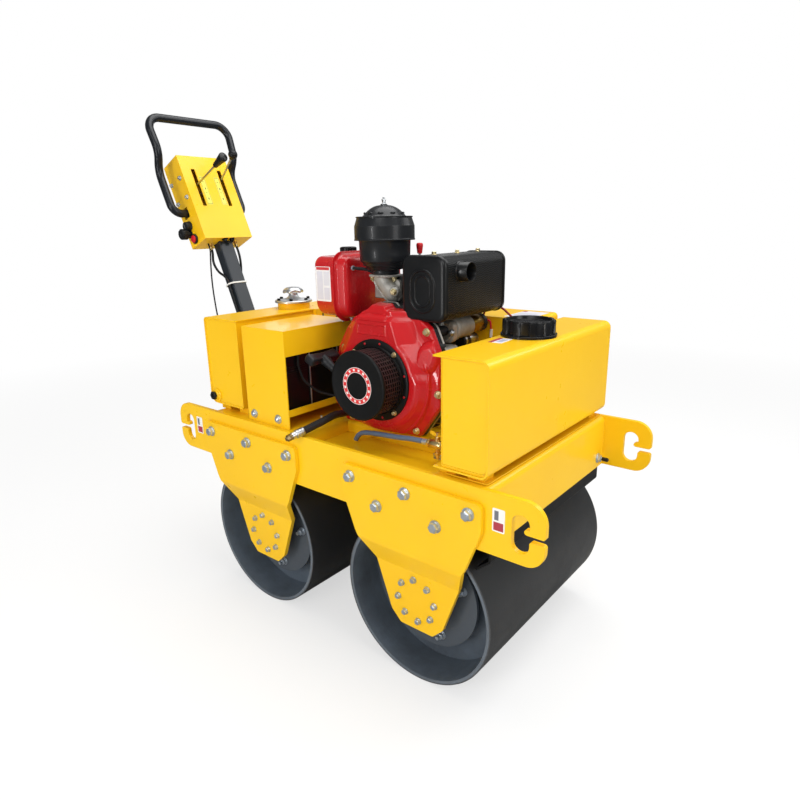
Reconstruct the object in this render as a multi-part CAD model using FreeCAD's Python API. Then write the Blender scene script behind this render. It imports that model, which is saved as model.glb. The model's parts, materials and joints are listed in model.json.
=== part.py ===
# Walk-behind double drum roller, in millimetres.
# +X is the travel direction (water tank end), +Y is the machine's left, +Z is up.
# The origin lies on the ground, midway between the two axles, on the middle plane.
import FreeCAD
import Part
import math
import os

V = FreeCAD.Vector
UP = V(0, 0, 1)
FORWARD = V(1, 0, 0)
LEFT = V(0, 1, 0)

# ---- drums ----
drum_radius = 212.5
drum_width = 600.0
drum_wall = 10.0
wheel_base = 567.0
web_thickness = 8.0
disc_radius = 144.0
disc_thickness = 8.0
buffer_length = 34.0
buffer_radius = 24.0
buffer_circle = 112.0
buffer_count = 4
buffer_start_front = 22.5
buffer_start_rear = 10.0
axle_radius = 17.5
axle_clearance = 0.05
axle_end_gap = 4.0

# ---- bearing housings ----
hub_flange_radius = 72.0
hub_flange_thickness = 12.0
hub_barrel_radius = 42.0
hub_barrel_length = 18.0
running_gap = 5.0

# ---- chassis side plates ----
drum_end_gap = 16.5
frame_half_width = drum_width / 2 + drum_end_gap
side_thickness = 12.0
drum_top_gap = 1.0
frame_bottom = 2 * drum_radius + drum_top_gap
frame_height = 141.0
frame_top = frame_bottom + frame_height
front_end = 621.5
rear_end = -638.0
hook_top_radius = 45.0
hook_bottom_radius = 42.0
slot_inset = 54.0
slot_width = 40.0
slot_rise = 25.0
slot_bottom = frame_bottom + slot_rise
slot_height = 84.0
slot_top = slot_bottom + slot_height
mouth_rise = 32.5
mouth_bottom = slot_bottom + mouth_rise
mouth_height = 12.0
nose_radius = 6.0
jaw_radius = 7.0

# ---- decks between the side plates ----
sheet = 6.0
sheet_bend = 9.0
rear_deck_end = -462.0
front_deck_end = 492.0
well_rear = -59.0
well_front = 340.0
well_depth = 29.0
well_floor = frame_top - well_depth
floor_thickness = 8.0
floor_lap = 20.0

# ---- hanger brackets ----
bracket_thickness = 12.0
bracket_bend = 12.0
bracket_step = 36.5
bracket_top_inset = 32.0
bracket_top = frame_top - bracket_top_inset
bracket_bottom = drum_radius - 80.5
fold_high = drum_radius + 141.5
fold_low = drum_radius + 74.5
bracket_outline = [
    # half width, height, corner radius
    (200.0, bracket_top, 15.0),
    (200.0, bracket_top - 65.0, 30.0),
    (160.0, fold_high + 15.0, 0.0),
    (152.0, fold_high, 20.0),
    (123.0, fold_low, 0.0),
    (77.0, bracket_bottom + 28.0, 12.0),
    (48.5, bracket_bottom, 10.0),
]

# ---- scrapers ----
scraper_end_gap = 10.0
scraper_half_width = drum_width / 2 - scraper_end_gap
scraper_thickness = 5.0
scraper_lap = 44.0
scraper_drop = 40.0
scraper_reach_angle = 40.0
scraper_gap = 5.0

# ---- engine bed and engine ----
bed_rear = well_rear
bed_front = 305.0
bed_near = -152.0
bed_far = 118.0
bed_rise = 5.0
bed_top = frame_top + bed_rise
crank_x = 82.5
crank_height = 140.0
crank_z = bed_top + crank_height
back_plate_y = -122.0
back_plate_thickness = 20.0
back_plate_inset = 5.0
block_rear = crank_x - 92.5
block_front = crank_x + 92.5
block_far = 95.0
block_above_crank = 88.0
block_top = crank_z + block_above_crank
block_corner = 18.0
cylinder_x = crank_x + 2.5
cylinder_y = -20.0
cylinder_width = 92.0
cylinder_depth = 118.0
cylinder_height = 95.0
cylinder_top = block_top + cylinder_height
head_height = 67.0
head_top = cylinder_top + head_height
head_width = 110.0
head_depth = 120.0
fin_count = 6
fin_thickness = 3.0
fin_reach = 9.0
exhaust_half = 25.0
exhaust_z = head_top - 30.0

# ---- fan shroud and recoil starter ----
shroud_flange_thickness = 8.0
shroud_face_y = -186.0
shroud_bowl_radius = 136.0
shroud_bowl_round = 22.0
shroud_duct_depth = 26.0
shroud_foot = crank_height - 1.0
shroud_outline = [
    # across from the crankshaft, height above it, corner radius
    (-144.0, -shroud_foot, 12.0),
    (112.0, -shroud_foot, 12.0),
    (176.0, -50.0, 20.0),
    (174.0, 102.0, 14.0),
    (140.0, 136.0, 14.0),
    (104.0, 138.0, 10.0),
    (60.0, 152.0, 8.0),
    (56.0, 187.0, 10.0),
    (-30.0, 187.0, 12.0),
    (-92.0, 148.0, 25.0),
    (-160.0, 72.0, 30.0),
    (-190.0, -88.0, 20.0),
]
duct_outline = [
    (-112.0, 60.0, 20.0),
    (112.0, 60.0, 20.0),
    (88.0, 128.0, 20.0),
    (50.0, 150.0, 10.0),
    (46.0, 183.0, 10.0),
    (-24.0, 183.0, 10.0),
    (-78.0, 140.0, 30.0),
]
recoil_flange_radius = 105.0
recoil_flange_thickness = 4.0
recoil_cage_radius = 84.0
recoil_face_y = -260.0
recoil_face_radius = 88.0
recoil_face_thickness = 5.0

# ---- recoil grip, from where the rope leaves the cage ----
rope_exit_reach = 2.5
rope_exit_rise = 10.0
rope_exit_depth = 42.0
rope_exit = V(crank_x - recoil_cage_radius - rope_exit_reach, shroud_face_y - rope_exit_depth,
              crank_z + rope_exit_rise)
grip_draw = 62.0
grip_lift = 38.0
grip_centre = rope_exit + V(-grip_draw, 0, grip_lift)
grip_length = 100.0
grip_height = 22.0
grip_depth = 24.0
outlet_radius = 13.0
outlet_length = 26.0
grip_seat_gap = 0.3
grip_stem_small = 8.0
grip_stem_large = 13.0
grip_tilt = 30.0

# ---- fuel tank ----
fuel_rear = crank_x - 256.5
fuel_length = 124.0
fuel_front = fuel_rear + fuel_length
fuel_near = -146.0
fuel_far = 88.0
fuel_rise = 50.0
fuel_bottom = block_top + fuel_rise
fuel_height = 162.0
fuel_top = fuel_bottom + fuel_height
fuel_corner = 26.0
fuel_low_corner = 38.0
fuel_seam_reach = 12.0
fuel_seam_thickness = 3.0
fuel_seam_x = fuel_rear + 86.0
fuel_arm_thickness = 8.0
fuel_cap_y = -60.0
fuel_cap_radius = 23.0
fuel_cap_height = 22.0

# ---- air cleaner and intake elbow ----
cleaner_x = cylinder_x - 42.0
cleaner_y = -95.0
cleaner_bottom = head_top + 6.0
cleaner_outline = [
    # radius, height above the foot: from the foot up to the crown
    (36.0, 0.0),
    (36.0, 10.0),
    (52.0, 16.0),
    (62.0, 30.0),
    (65.0, 84.0),
    (77.0, 84.0),
    (77.0, 122.0),
    (67.0, 139.0),
]
crown_height = 29.0
crown_radius = 60.0
wing_nut_height = 18.0
wing_nut_radius = 6.0
elbow_radius = 22.0
elbow_flange_half = 42.0
elbow_flange_thickness = 7.0
elbow_port_z = head_top - 35.0
elbow_shift = 14.0
elbow_seat_half = 28.0

# ---- muffler ----
muffler_rear = cylinder_x + 59.0
muffler_width = 128.0
muffler_front = muffler_rear + muffler_width
muffler_near = -156.0
muffler_far = 120.0
muffler_rise = 65.0
muffler_bottom = block_top + muffler_rise
muffler_height = 155.0
muffler_top = muffler_bottom + muffler_height
muffler_corner = 26.0
muffler_rim = 3.0
muffler_rim_thickness = 6.0
tailpipe_y = -89.0
tailpipe_drop = 39.0
tailpipe_z = muffler_top - tailpipe_drop
tailpipe_radius = 22.5
tailpipe_wall = 2.5
tailpipe_length = 30.0
tailpipe_depth = 25.0
tailpipe_seam_radius = 24.5

# ---- starter motor ----
starter_ahead = 117.5
starter_x = crank_x + starter_ahead
starter_above = 119.0
starter_z = crank_z + starter_above
starter_sections = [
    # radius, end y: nose, drive body, motor body, end cap
    (30.0, 40.0),
    (25.0, 98.0),
    (22.0, 122.0),
]

# ---- decompression lever ----
lever_x = cylinder_x + 13.0
lever_y = -22.0
lever_stem_radius = 3.0
lever_stem_height = 68.0
lever_ball_radius = 9.0

# ---- sump drain and the hoses ----
hose_radius = 10.0
drain_hose_radius = 6.5
oil_hose_x = -55.0
oil_hose_z = well_floor + 58.0
ferrule_radius = 11.5
ferrule_length = 34.0
hose_cap_radius = 8.0
hose_cap_length = 18.0
valve_x = 286.0
valve_y = -205.0
valve_z = well_floor + 50.0
valve_pipe_y = -60.0
valve_pipe_radius = 7.0
valve_radius = 11.0
valve_body_rear = 30.0
valve_body_front = 14.0
valve_stem_radius = 5.0
valve_stem_height = 32.0
valve_lever_reach = 21.0
valve_lever_half = 7.0
valve_lever_thickness = 4.0
valve_tail_radius = 5.0
valve_tail_length = 36.0

# ---- water tank ----
water_rear = 369.0
water_front = 486.0
water_half_width = 306.5
water_rise = 20.0
water_bottom = frame_top + water_rise
water_height = 244.0
water_top = water_bottom + water_height
water_bend = 15.0
tank_plate = 4.0
tank_plate_lip = 4.5
water_plate_rear = 350.0
pad_size = 40.0
cap_x = 407.0
cap_y = -5.0
cap_base_radius = 66.0
cap_base_height = 7.0
cap_radius = 62.0
cap_height = 32.0
cap_lobes = 12
cap_groove_radius = 5.0
cap_dish_radius = 44.0
cap_dish_depth = 8.0

# ---- oil tank ----
oil_rear = -487.0
oil_front = -340.0
oil_half_width = 290.0
oil_rise = 19.0
oil_bottom = frame_top + oil_rise
oil_height = 252.0
oil_top = oil_bottom + oil_height
oil_top_bend = 8.0
oil_low_bend = 22.0
oil_plate_lip = 3.0
oil_lug_near = -1.0
oil_lug_width = 25.0
oil_lug_depth = 16.0
oil_lug_drop = 90.0
filler_y = -12.0
filler_neck_radius = 50.0
filler_neck_height = 18.0
filler_flange_radius = 58.0
filler_flange_thickness = 8.0
filler_stem_large = 20.0
filler_stem_small = 13.0
filler_stem_height = 20.0
filler_knob_height = 40.0
filler_knob_radius = 33.0
filler_lobes = 6
filler_groove_radius = 8.0
sight_x = -464.0
sight_z = oil_bottom + 24.0
sight_boss_radius = 16.0
sight_boss_length = 6.0
sight_plug_radius = 10.0
sight_plug_length = 5.0

# ---- battery box ----
box_rear = -304.0
box_front = -131.0
box_near = -300.0
box_far = -40.0
box_height = 265.0
box_top = frame_top + box_height
box_sheet = 3.0
box_floor_rise = 37.0
box_floor_top = frame_top + box_floor_rise
box_lip_height = 16.0
box_band_height = 68.0
battery_clearance = 14.0
battery_height = 166.0
battery_top = box_floor_top + battery_height
terminal_radius = 8.0
terminal_height = 14.0
terminal_inset = 28.0

# ---- drive guard on the far side ----
guard_gap = 0.3
guard_rear = well_rear + guard_gap
guard_front = well_front - guard_gap
guard_near = 130.0
guard_side_gap = 9.5
guard_far = frame_half_width - side_thickness - guard_side_gap
guard_rise = 278.0
guard_top = frame_top + guard_rise
guard_sheet = 3.0
guard_corner = 12.0

# ---- handle ----
pivot_x = -555.0
pivot_z = frame_bottom + 80.0
pivot_pin_radius = 8.0
pin_clearance = 0.1
column_lean = 22.6
column_width = 54.0
column_depth = 38.0
column_wall = 3.0
column_corner = 4.0
column_tail = 30.0
cheek_thickness = 8.0
cheek_gap = 0.3
cheek_height = 90.0
cheek_nose = 26.0
panel_lean = 24.3
panel_x = -735.0
panel_rise = 552.0
panel_z = pivot_z + panel_rise
panel_width = 190.0
panel_height = 292.0
panel_depth = 90.0
panel_sheet = 3.0
slot_reach = 130.0
lever_slot_width = 15.0
lever_slot_start = 115.0
lever_slot_offset = 51.0
bar_hole_height = 34.0
bar_hole_depth = 32.0

# ---- handlebar ----
bar_radius = 13.0
bar_entry = 113.0
bar_depth = -56.0
bar_low_half = 141.0
bar_joggle_low = 262.0
bar_joggle_high = 306.0
bar_joggle_half = 147.0
bar_joggle_out = -10.0
bar_reach = 423.0
bar_high_half = 156.0
bar_top_out = -4.0
bar_seat_gap = 0.3

# ---- travel levers ----
travel_rod_radius = 3.5
travel_pivot_up = 190.0
travel_pivot_depth = -62.0
travel_pivot_radius = 6.0
grip_rise = 0.02
grip_start = 117.0
grip_end = 175.0
grip_neck_radius = 8.5
grip_head_radius = 15.0
ball_up = 59.0
ball_out = 100.5
ball_radius = 15.5

# ---- switches on the panel's side: up the box, out from its face, radius, length ----
switch_table = [
    (70.0, -61.0, 16.0, 22.0),
    (47.0, -72.0, 17.0, 42.0),
    (22.0, -54.0, 15.0, 12.0),
]

# ---- control cables and their tie ----
cable_gap = 0.3
thin_cable_radius = 2.5
thick_cable_radius = 4.0
far_cable_out = -14.0
tie_height = 5.0
tie_thickness = 2.0
tie_z = pivot_z + 394.0


def block(low, high):
    """Box between two opposite corners."""
    size = high - low
    return Part.makeBox(size.x, size.y, size.z, low)


def rod(start, direction, radius, length):
    return Part.makeCylinder(radius, length, start, direction)


def rounded_edges(points, radii, closed):
    """Straight runs joined by tangent arcs; a radius of zero keeps a corner sharp."""
    count = len(points)
    arrivals = []
    departures = []
    edges = []
    for index in range(count):
        point = points[index]
        radius = radii[index]
        if radius == 0:
            arrivals.append(point)
            departures.append(point)
            continue
        back = (points[index - 1] - point).normalize()
        ahead = (points[(index + 1) % count] - point).normalize()
        half_angle = back.getAngle(ahead) / 2
        middle = (back + ahead).normalize()
        arrival = point + back * (radius / math.tan(half_angle))
        departure = point + ahead * (radius / math.tan(half_angle))
        crown = point + middle * (radius / math.sin(half_angle) - radius)
        arrivals.append(arrival)
        departures.append(departure)
        edges.append((index, Part.Arc(arrival, crown, departure).toShape()))
    ordered = []
    arcs = dict(edges)
    last = count if closed else count - 1
    for index in range(count):
        if index in arcs:
            ordered.append(arcs[index])
        if index < last:
            target = arrivals[(index + 1) % count]
            if departures[index].distanceToPoint(target) > 1e-6:
                ordered.append(Part.LineSegment(departures[index], target).toShape())
    return ordered


def place(axis, across, up, along):
    """Point from plane values: axis x uses (y, z), axis y uses (x, z), axis z uses (x, y)."""
    if axis == "x":
        return V(along, across, up)
    if axis == "y":
        return V(across, along, up)
    return V(across, up, along)


def slab(corners, axis, low, high):
    """Flat piece with rounded corners (across, up, radius), thick from low to high along an axis."""
    points = [place(axis, across, up, low) for across, up, _ in corners]
    radii = [radius for _, _, radius in corners]
    face = Part.Face(Part.Wire(rounded_edges(points, radii, True)))
    return face.extrude(place(axis, 0, 0, high - low))


def folded_sheet(line, thickness, bend, axis, low, high):
    """Bent plate along an axis; its thickness lies to the left of the line. A bend, or one per point."""
    count = len(line)
    bends = bend if isinstance(bend, list) else [bend] * count
    normals = []
    for index in range(count - 1):
        run = (line[index + 1][0] - line[index][0], line[index + 1][1] - line[index][1])
        length = math.hypot(run[0], run[1])
        normals.append((-run[1] / length, run[0] / length))
    outer = []
    inner = []
    for index in range(count):
        before = normals[max(index - 1, 0)]
        after = normals[min(index, count - 2)]
        total = (before[0] + after[0], before[1] + after[1])
        reach = 2 * thickness / (total[0] ** 2 + total[1] ** 2)
        turn = before[0] * after[1] - before[1] * after[0]
        is_end = index in (0, count - 1)
        line_bend = 0 if is_end else bends[index] + (thickness if turn > 0 else 0)
        back_bend = 0 if is_end else bends[index] + (0 if turn > 0 else thickness)
        outer.append((line[index][0], line[index][1], line_bend))
        inner.append((line[index][0] + total[0] * reach, line[index][1] + total[1] * reach, back_bend))
    return slab(outer + inner[::-1], axis, low, high)


def turned(profile, centre):
    """Solid of revolution about the vertical through centre, from (radius, height) points."""
    rims = [V(centre.x + radius, centre.y, height) for radius, height in profile]
    points = [V(centre.x, centre.y, profile[0][1])] + rims + [V(centre.x, centre.y, profile[-1][1])]
    face = Part.Face(Part.makePolygon(points + [points[0]]))
    return face.revolve(centre, UP, 360)


def pipe(points, radii, radius):
    """Round bar along straight runs and tangent arcs."""
    path = Part.Wire(rounded_edges(points, radii, False))
    ring = Part.Wire(Part.makeCircle(radius, points[0], points[1] - points[0]))
    return path.makePipeShell([ring], True, False)


def cord_radii(points):
    """Largest arc at each point: 0.45 of the shorter run over the tangent of half the turn."""
    radii = [0.0]
    for index in range(1, len(points) - 1):
        back = points[index] - points[index - 1]
        ahead = points[index + 1] - points[index]
        turn = back.getAngle(ahead)
        radii.append(0.45 * min(back.Length, ahead.Length) / math.tan(turn / 2))
    radii.append(0.0)
    return radii


def cord(name, points, radius):
    """Free cord; prints its bend radii and how well its volume fits its length."""
    radii = cord_radii(points)
    solid = pipe(points, radii, radius)
    length = sum(edge.Length for edge in rounded_edges(points, radii, False))
    print(name, "radii", [round(value) for value in radii[1:-1]],
          "volume ratio", round(solid.Volume / (math.pi * radius ** 2 * length), 4))
    return solid


def mirrored(shape):
    """The same piece on the other side of the middle plane."""
    return shape.mirror(V(0, 0, 0), LEFT)


def fused(pieces):
    return pieces[0].multiFuse(pieces[1:]).removeSplitter()


def save(name, shape):
    """Write one node; a list of shapes becomes separate solids in the same node."""
    if isinstance(shape, list):
        shape = Part.makeCompound(shape)
    shape.exportStep("parts/" + name + ".step")
    print(name, len(shape.Solids), "solids", round(shape.Volume / 1000), "cm3")


# ---- places along the axles, outwards from the middle plane ----
bracket_face = frame_half_width + bracket_thickness
hub_seat = bracket_face - bracket_step - bracket_thickness
hub_flange_inner = hub_seat - hub_flange_thickness
hub_end = hub_flange_inner - hub_barrel_length
disc_outer = hub_end - running_gap
disc_inner = disc_outer - disc_thickness
web_outer = disc_inner - buffer_length
web_inner = web_outer - web_thickness
axle_end = hub_seat - axle_end_gap
plate_inner = frame_half_width - side_thickness
drum_axles = [
    # end, axle x, turn of the buffer ring
    ("front", wheel_base / 2, buffer_start_front),
    ("rear", -wheel_base / 2, buffer_start_rear),
]


def axle_point(x, y):
    return V(x, y, drum_radius)


def drum_shell(x):
    """Rolled shell with a web plate welded in near each end."""
    start = axle_point(x, -drum_width / 2)
    shell = rod(start, LEFT, drum_radius, drum_width)
    shell = shell.cut(rod(start, LEFT, drum_radius - drum_wall, drum_width))
    inner = drum_radius - drum_wall
    webs = [rod(axle_point(x, side), LEFT, inner, web_thickness) for side in (-web_outer, web_inner)]
    return fused([shell] + webs)


def drum_disc(x):
    """Right-hand drive disc with its stub axle."""
    disc = rod(axle_point(x, -disc_outer), LEFT, disc_radius, disc_thickness)
    axle = rod(axle_point(x, -axle_end), LEFT, axle_radius, axle_end - disc_outer + disc_thickness / 2)
    return disc.fuse(axle)


def drum_buffers(x, start):
    """Right-hand ring of rubber buffers between the disc and the web."""
    buffers = []
    for index in range(buffer_count):
        angle = math.radians(start + 360 * index / buffer_count)
        offset = V(math.cos(angle), 0, math.sin(angle)) * buffer_circle
        buffers.append(rod(axle_point(x, -disc_inner) + offset, LEFT, buffer_radius, buffer_length))
    return buffers


def hub(x):
    """Right-hand bearing housing, bolted to the bracket; the stub axle turns in it."""
    flange = rod(axle_point(x, -hub_seat), LEFT, hub_flange_radius, hub_flange_thickness)
    barrel = rod(axle_point(x, -hub_seat), LEFT, hub_barrel_radius, hub_seat - hub_end)
    bore = rod(axle_point(x, -hub_seat), LEFT, axle_radius + axle_clearance, hub_seat - hub_end)
    return flange.fuse(barrel).cut(bore)


def bracket(x):
    """Right-hand hanger: bent plate from the side plate down to the bearing housing."""
    line = [
        (-bracket_face, bracket_top),
        (-bracket_face, fold_high),
        (-bracket_face + bracket_step, fold_low),
        (-bracket_face + bracket_step, bracket_bottom),
    ]
    reach = bracket_outline[0][0]
    bent = folded_sheet(line, bracket_thickness, bracket_bend, "x", x - reach, x + reach)
    rear = [(x - half, height, radius) for half, height, radius in bracket_outline]
    front = [(x + half, height, radius) for half, height, radius in bracket_outline[::-1]]
    outline = slab(rear + front, "y", -bracket_face - 1, -hub_seat + 1)
    return bent.common(outline)


def side_plate():
    """Right-hand side plate with an open hook at each end."""
    corners = [
        (rear_end, frame_bottom, hook_bottom_radius),
        (front_end, frame_bottom, hook_bottom_radius),
        (front_end, frame_top, hook_top_radius),
        (rear_end, frame_top, hook_top_radius),
    ]
    plate = slab(corners, "y", -frame_half_width, -plate_inner)
    for end, inward in ((front_end, -1), (rear_end, 1)):
        plate = hooked_end(plate, end, inward)
    return plate


def hooked_end(plate, end, inward):
    """Cut the tall slot and its mouth, round the jaws and leave a nose above the mouth."""
    centre = end + inward * slot_inset
    half = slot_width / 2
    jaw_inner = centre - inward * half
    mouth_top = mouth_bottom + mouth_height
    slot = slab([
        (centre - half, slot_bottom, half - 0.01),
        (centre + half, slot_bottom, half - 0.01),
        (centre + half, slot_top, half - 0.01),
        (centre - half, slot_top, half - 0.01),
    ], "y", -frame_half_width, -plate_inner)
    mouth = block(V(min(centre, end), -frame_half_width, mouth_bottom),
                  V(max(centre, end), -plate_inner, mouth_top))
    plate = plate.cut(slot).cut(mouth)
    nose_centre = V(jaw_inner + inward * nose_radius, -frame_half_width, mouth_top + nose_radius)
    nose = rod(nose_centre, LEFT, nose_radius, side_thickness)
    bridge = block(V(min(nose_centre.x, jaw_inner - inward * nose_radius), -frame_half_width, mouth_top),
                   V(max(nose_centre.x, jaw_inner - inward * nose_radius), -plate_inner,
                     mouth_top + 2 * nose_radius))
    plate = plate.fuse([nose, bridge]).removeSplitter()
    corners = [(end, mouth_top), (end, mouth_bottom), (jaw_inner, mouth_bottom)]
    edges = [edge for edge in plate.Edges if is_jaw_edge(edge, corners)]
    return plate.makeFillet(jaw_radius - 1, edges)


def is_jaw_edge(edge, corners):
    """True for an edge along Y that stands at one of the jaw corners."""
    first, last = edge.Vertexes[0].Point, edge.Vertexes[-1].Point
    along = abs(abs(first.y - last.y) - side_thickness) < 1e-3 and abs(first.x - last.x) < 1e-3
    return along and any(abs(first.x - x) < 0.01 and abs(first.z - z) < 0.01 for x, z in corners)


def rear_deck():
    line = [
        (well_rear, well_floor),
        (well_rear, frame_top),
        (rear_deck_end, frame_top),
        (rear_deck_end, frame_bottom),
    ]
    return folded_sheet(line, sheet, sheet_bend, "y", -plate_inner, plate_inner)


def front_deck():
    line = [
        (front_deck_end, frame_bottom),
        (front_deck_end, frame_top),
        (well_front, frame_top),
        (well_front, well_floor),
    ]
    return folded_sheet(line, sheet, sheet_bend, "y", -plate_inner, plate_inner)


def floor_plate():
    """Floor of the engine well, lapped under both decks."""
    return block(V(well_rear - floor_lap, -plate_inner, well_floor - floor_thickness),
                 V(well_front + floor_lap, plate_inner, well_floor))


def engine_bed():
    """Folded channel across the well that carries the engine."""
    line = [
        (bed_far, well_floor),
        (bed_far, bed_top),
        (bed_near, bed_top),
        (bed_near, well_floor),
    ]
    return folded_sheet(line, sheet, sheet, "x", bed_rear, bed_front)


def scraper(axle_x, cross_plate_x):
    """Folded blade under a cross plate; its edge stays clear of the drum."""
    outward = 1 if cross_plate_x > axle_x else -1
    seat_x = cross_plate_x - outward * sheet
    angle = math.radians(scraper_reach_angle)
    reach = drum_radius + scraper_gap
    edge_x = axle_x + outward * reach * math.cos(angle)
    edge_z = drum_radius + reach * math.sin(angle)
    line = [
        (seat_x, frame_bottom + scraper_lap),
        (seat_x, frame_bottom - scraper_drop),
        (edge_x, edge_z + scraper_thickness),
    ]
    if outward > 0:
        line = line[::-1]
    return folded_sheet(line, scraper_thickness, scraper_thickness, "y",
                        -scraper_half_width, scraper_half_width)


def around_crank(outline, low, high, inset):
    """Plate from an outline about the crankshaft, drawn in by an inset at its top and sides."""
    corners = []
    for across, up, radius in outline:
        shrink_x = 1 - inset / abs(across) if abs(across) > inset else 1
        shrink_z = 1 - inset / up if up > inset else 1
        corners.append((crank_x + across * shrink_x, crank_z + up * shrink_z, radius))
    return slab(corners, "y", low, high)


def engine_block():
    """Crankcase, finned cylinder and head as one solid, with the fuel tank's arm."""
    crankcase = slab([
        (block_rear, bed_top, 0),
        (block_front, bed_top, 0),
        (block_front, block_top, block_corner),
        (block_rear, block_top, block_corner),
    ], "y", back_plate_y, block_far)
    back_plate = around_crank(shroud_outline, back_plate_y - back_plate_thickness, back_plate_y,
                              back_plate_inset)
    neck = block(V(cylinder_x - cylinder_width / 2, back_plate_y, block_top - block_corner),
                 V(cylinder_x + cylinder_width / 2, cylinder_y, cylinder_top))
    low = V(cylinder_x - cylinder_width / 2, cylinder_y - cylinder_depth / 2, block_top - block_corner)
    high = V(cylinder_x + cylinder_width / 2, cylinder_y + cylinder_depth / 2, cylinder_top)
    barrel = block(low, high)
    head = block(V(cylinder_x - head_width / 2, cylinder_y - head_depth / 2, cylinder_top),
                 V(cylinder_x + head_width / 2, cylinder_y + head_depth / 2, head_top))
    fins = []
    pitch = (cylinder_top - block_top) / fin_count
    for index in range(fin_count):
        height = block_top + pitch * (index + 0.5)
        fins.append(block(V(low.x - fin_reach, low.y - fin_reach, height),
                          V(high.x + fin_reach, high.y + fin_reach, height + fin_thickness)))
    arm_post = block(V(block_rear, fuel_near + 60, block_top - 40),
                     V(block_rear + fuel_arm_thickness, fuel_far - 60, fuel_bottom))
    arm = block(V(fuel_rear + 20, fuel_near + 60, fuel_bottom - fuel_arm_thickness),
                V(block_rear + fuel_arm_thickness, fuel_far - 60, fuel_bottom))
    port = block(V(cylinder_x, cylinder_y - exhaust_half, exhaust_z - exhaust_half),
                 V(muffler_rear + muffler_rim, cylinder_y + exhaust_half, exhaust_z + exhaust_half))
    return fused([crankcase, back_plate, neck, barrel, head, port, arm_post, arm] + fins)


def fan_shroud():
    """Cast fan housing: flange plate, round bowl and a duct up to the cylinder."""
    seat_y = back_plate_y - back_plate_thickness
    plate_y = seat_y - shroud_flange_thickness
    flange = around_crank(shroud_outline, plate_y, seat_y, 0)
    bowl = rod(V(crank_x, shroud_face_y, crank_z), LEFT, shroud_bowl_radius, plate_y - shroud_face_y)
    rim = [edge for edge in bowl.Edges if abs(edge.BoundBox.YMax - shroud_face_y) < 1e-6]
    bowl = bowl.makeFillet(shroud_bowl_round, rim)
    duct = around_crank(duct_outline, plate_y - shroud_duct_depth, plate_y, 0)
    front = [edge for edge in duct.Edges if abs(edge.BoundBox.YMax - plate_y + shroud_duct_depth) < 1e-6]
    duct = duct.makeFillet(8, front)
    return fused([flange, bowl, duct])


def recoil_starter():
    """Rope starter: flange ring, caged drum and closed face, coaxial with the crankshaft."""
    flange_start = V(crank_x, shroud_face_y - recoil_flange_thickness, crank_z)
    flange = rod(flange_start, LEFT, recoil_flange_radius, recoil_flange_thickness)
    cage = rod(V(crank_x, recoil_face_y, crank_z), LEFT, recoil_cage_radius, shroud_face_y - recoil_face_y)
    face = rod(V(crank_x, recoil_face_y, crank_z), LEFT, recoil_face_radius, recoil_face_thickness)
    outlet = rod(rope_exit, rope_exit - grip_centre, outlet_radius, outlet_length)
    return fused([flange, cage, face, outlet])


def recoil_grip():
    """T grip with a stub of its rope, pulled up against the housing."""
    direction = (grip_centre - rope_exit).normalize()
    stem_start = rope_exit + direction * grip_seat_gap
    bar = block(V(-grip_depth / 2, -grip_length / 2, -grip_height / 2),
                V(grip_depth / 2, grip_length / 2, grip_height / 2))
    bar = bar.makeFillet(8, bar.Edges)
    bar.Placement = FreeCAD.Placement(grip_centre, FreeCAD.Rotation(LEFT, grip_tilt))
    reach = grip_centre - stem_start
    stem = Part.makeCone(grip_stem_small, grip_stem_large, reach.Length, stem_start, reach)
    return bar.fuse(stem)


def fuel_tank():
    """Pressed tank: two halves meeting at a standing seam."""
    corners = [
        (fuel_near, fuel_bottom, fuel_low_corner),
        (fuel_far, fuel_bottom, fuel_corner),
        (fuel_far, fuel_top, fuel_corner),
        (fuel_near, fuel_top, fuel_corner),
    ]
    body = slab(corners, "x", fuel_rear, fuel_front)
    ends = [edge for edge in body.Edges if abs(edge.BoundBox.XMin - edge.BoundBox.XMax) < 1e-6]
    body = body.makeFillet(fuel_corner * 0.6, ends)
    reach = fuel_seam_reach
    seam = slab([
        (fuel_near - reach, fuel_bottom, fuel_low_corner),
        (fuel_far + reach, fuel_bottom, fuel_corner),
        (fuel_far + reach, fuel_top + reach, fuel_corner),
        (fuel_near - reach, fuel_top + reach, fuel_corner),
    ], "x", fuel_seam_x, fuel_seam_x + fuel_seam_thickness)
    return body.fuse(seam).removeSplitter()


def fuel_cap():
    rim = fuel_cap_radius
    profile = [
        (rim * 0.8, fuel_top),
        (rim * 0.8, fuel_top + 4),
        (rim, fuel_top + 4),
        (rim, fuel_top + fuel_cap_height - 4),
        (rim - 4, fuel_top + fuel_cap_height),
    ]
    return turned(profile, V((fuel_rear + fuel_seam_x) / 2 + 12, fuel_cap_y, 0))


def air_cleaner():
    """Oil-bath cleaner: bowl, wide band, domed crown and wing nut."""
    centre = V(cleaner_x, cleaner_y, 0)
    body = turned([(radius, cleaner_bottom + height) for radius, height in cleaner_outline], centre)
    top = cleaner_bottom + cleaner_outline[-1][1]
    ball_radius = (crown_radius ** 2 + crown_height ** 2) / (2 * crown_height)
    ball = Part.makeSphere(ball_radius, V(cleaner_x, cleaner_y, top + crown_height - ball_radius))
    crown = ball.common(rod(V(cleaner_x, cleaner_y, top), UP, crown_radius, crown_height + 1))
    nut = rod(V(cleaner_x, cleaner_y, top + crown_height - 1), UP, wing_nut_radius, wing_nut_height + 1)
    return fused([body, crown, nut])


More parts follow.
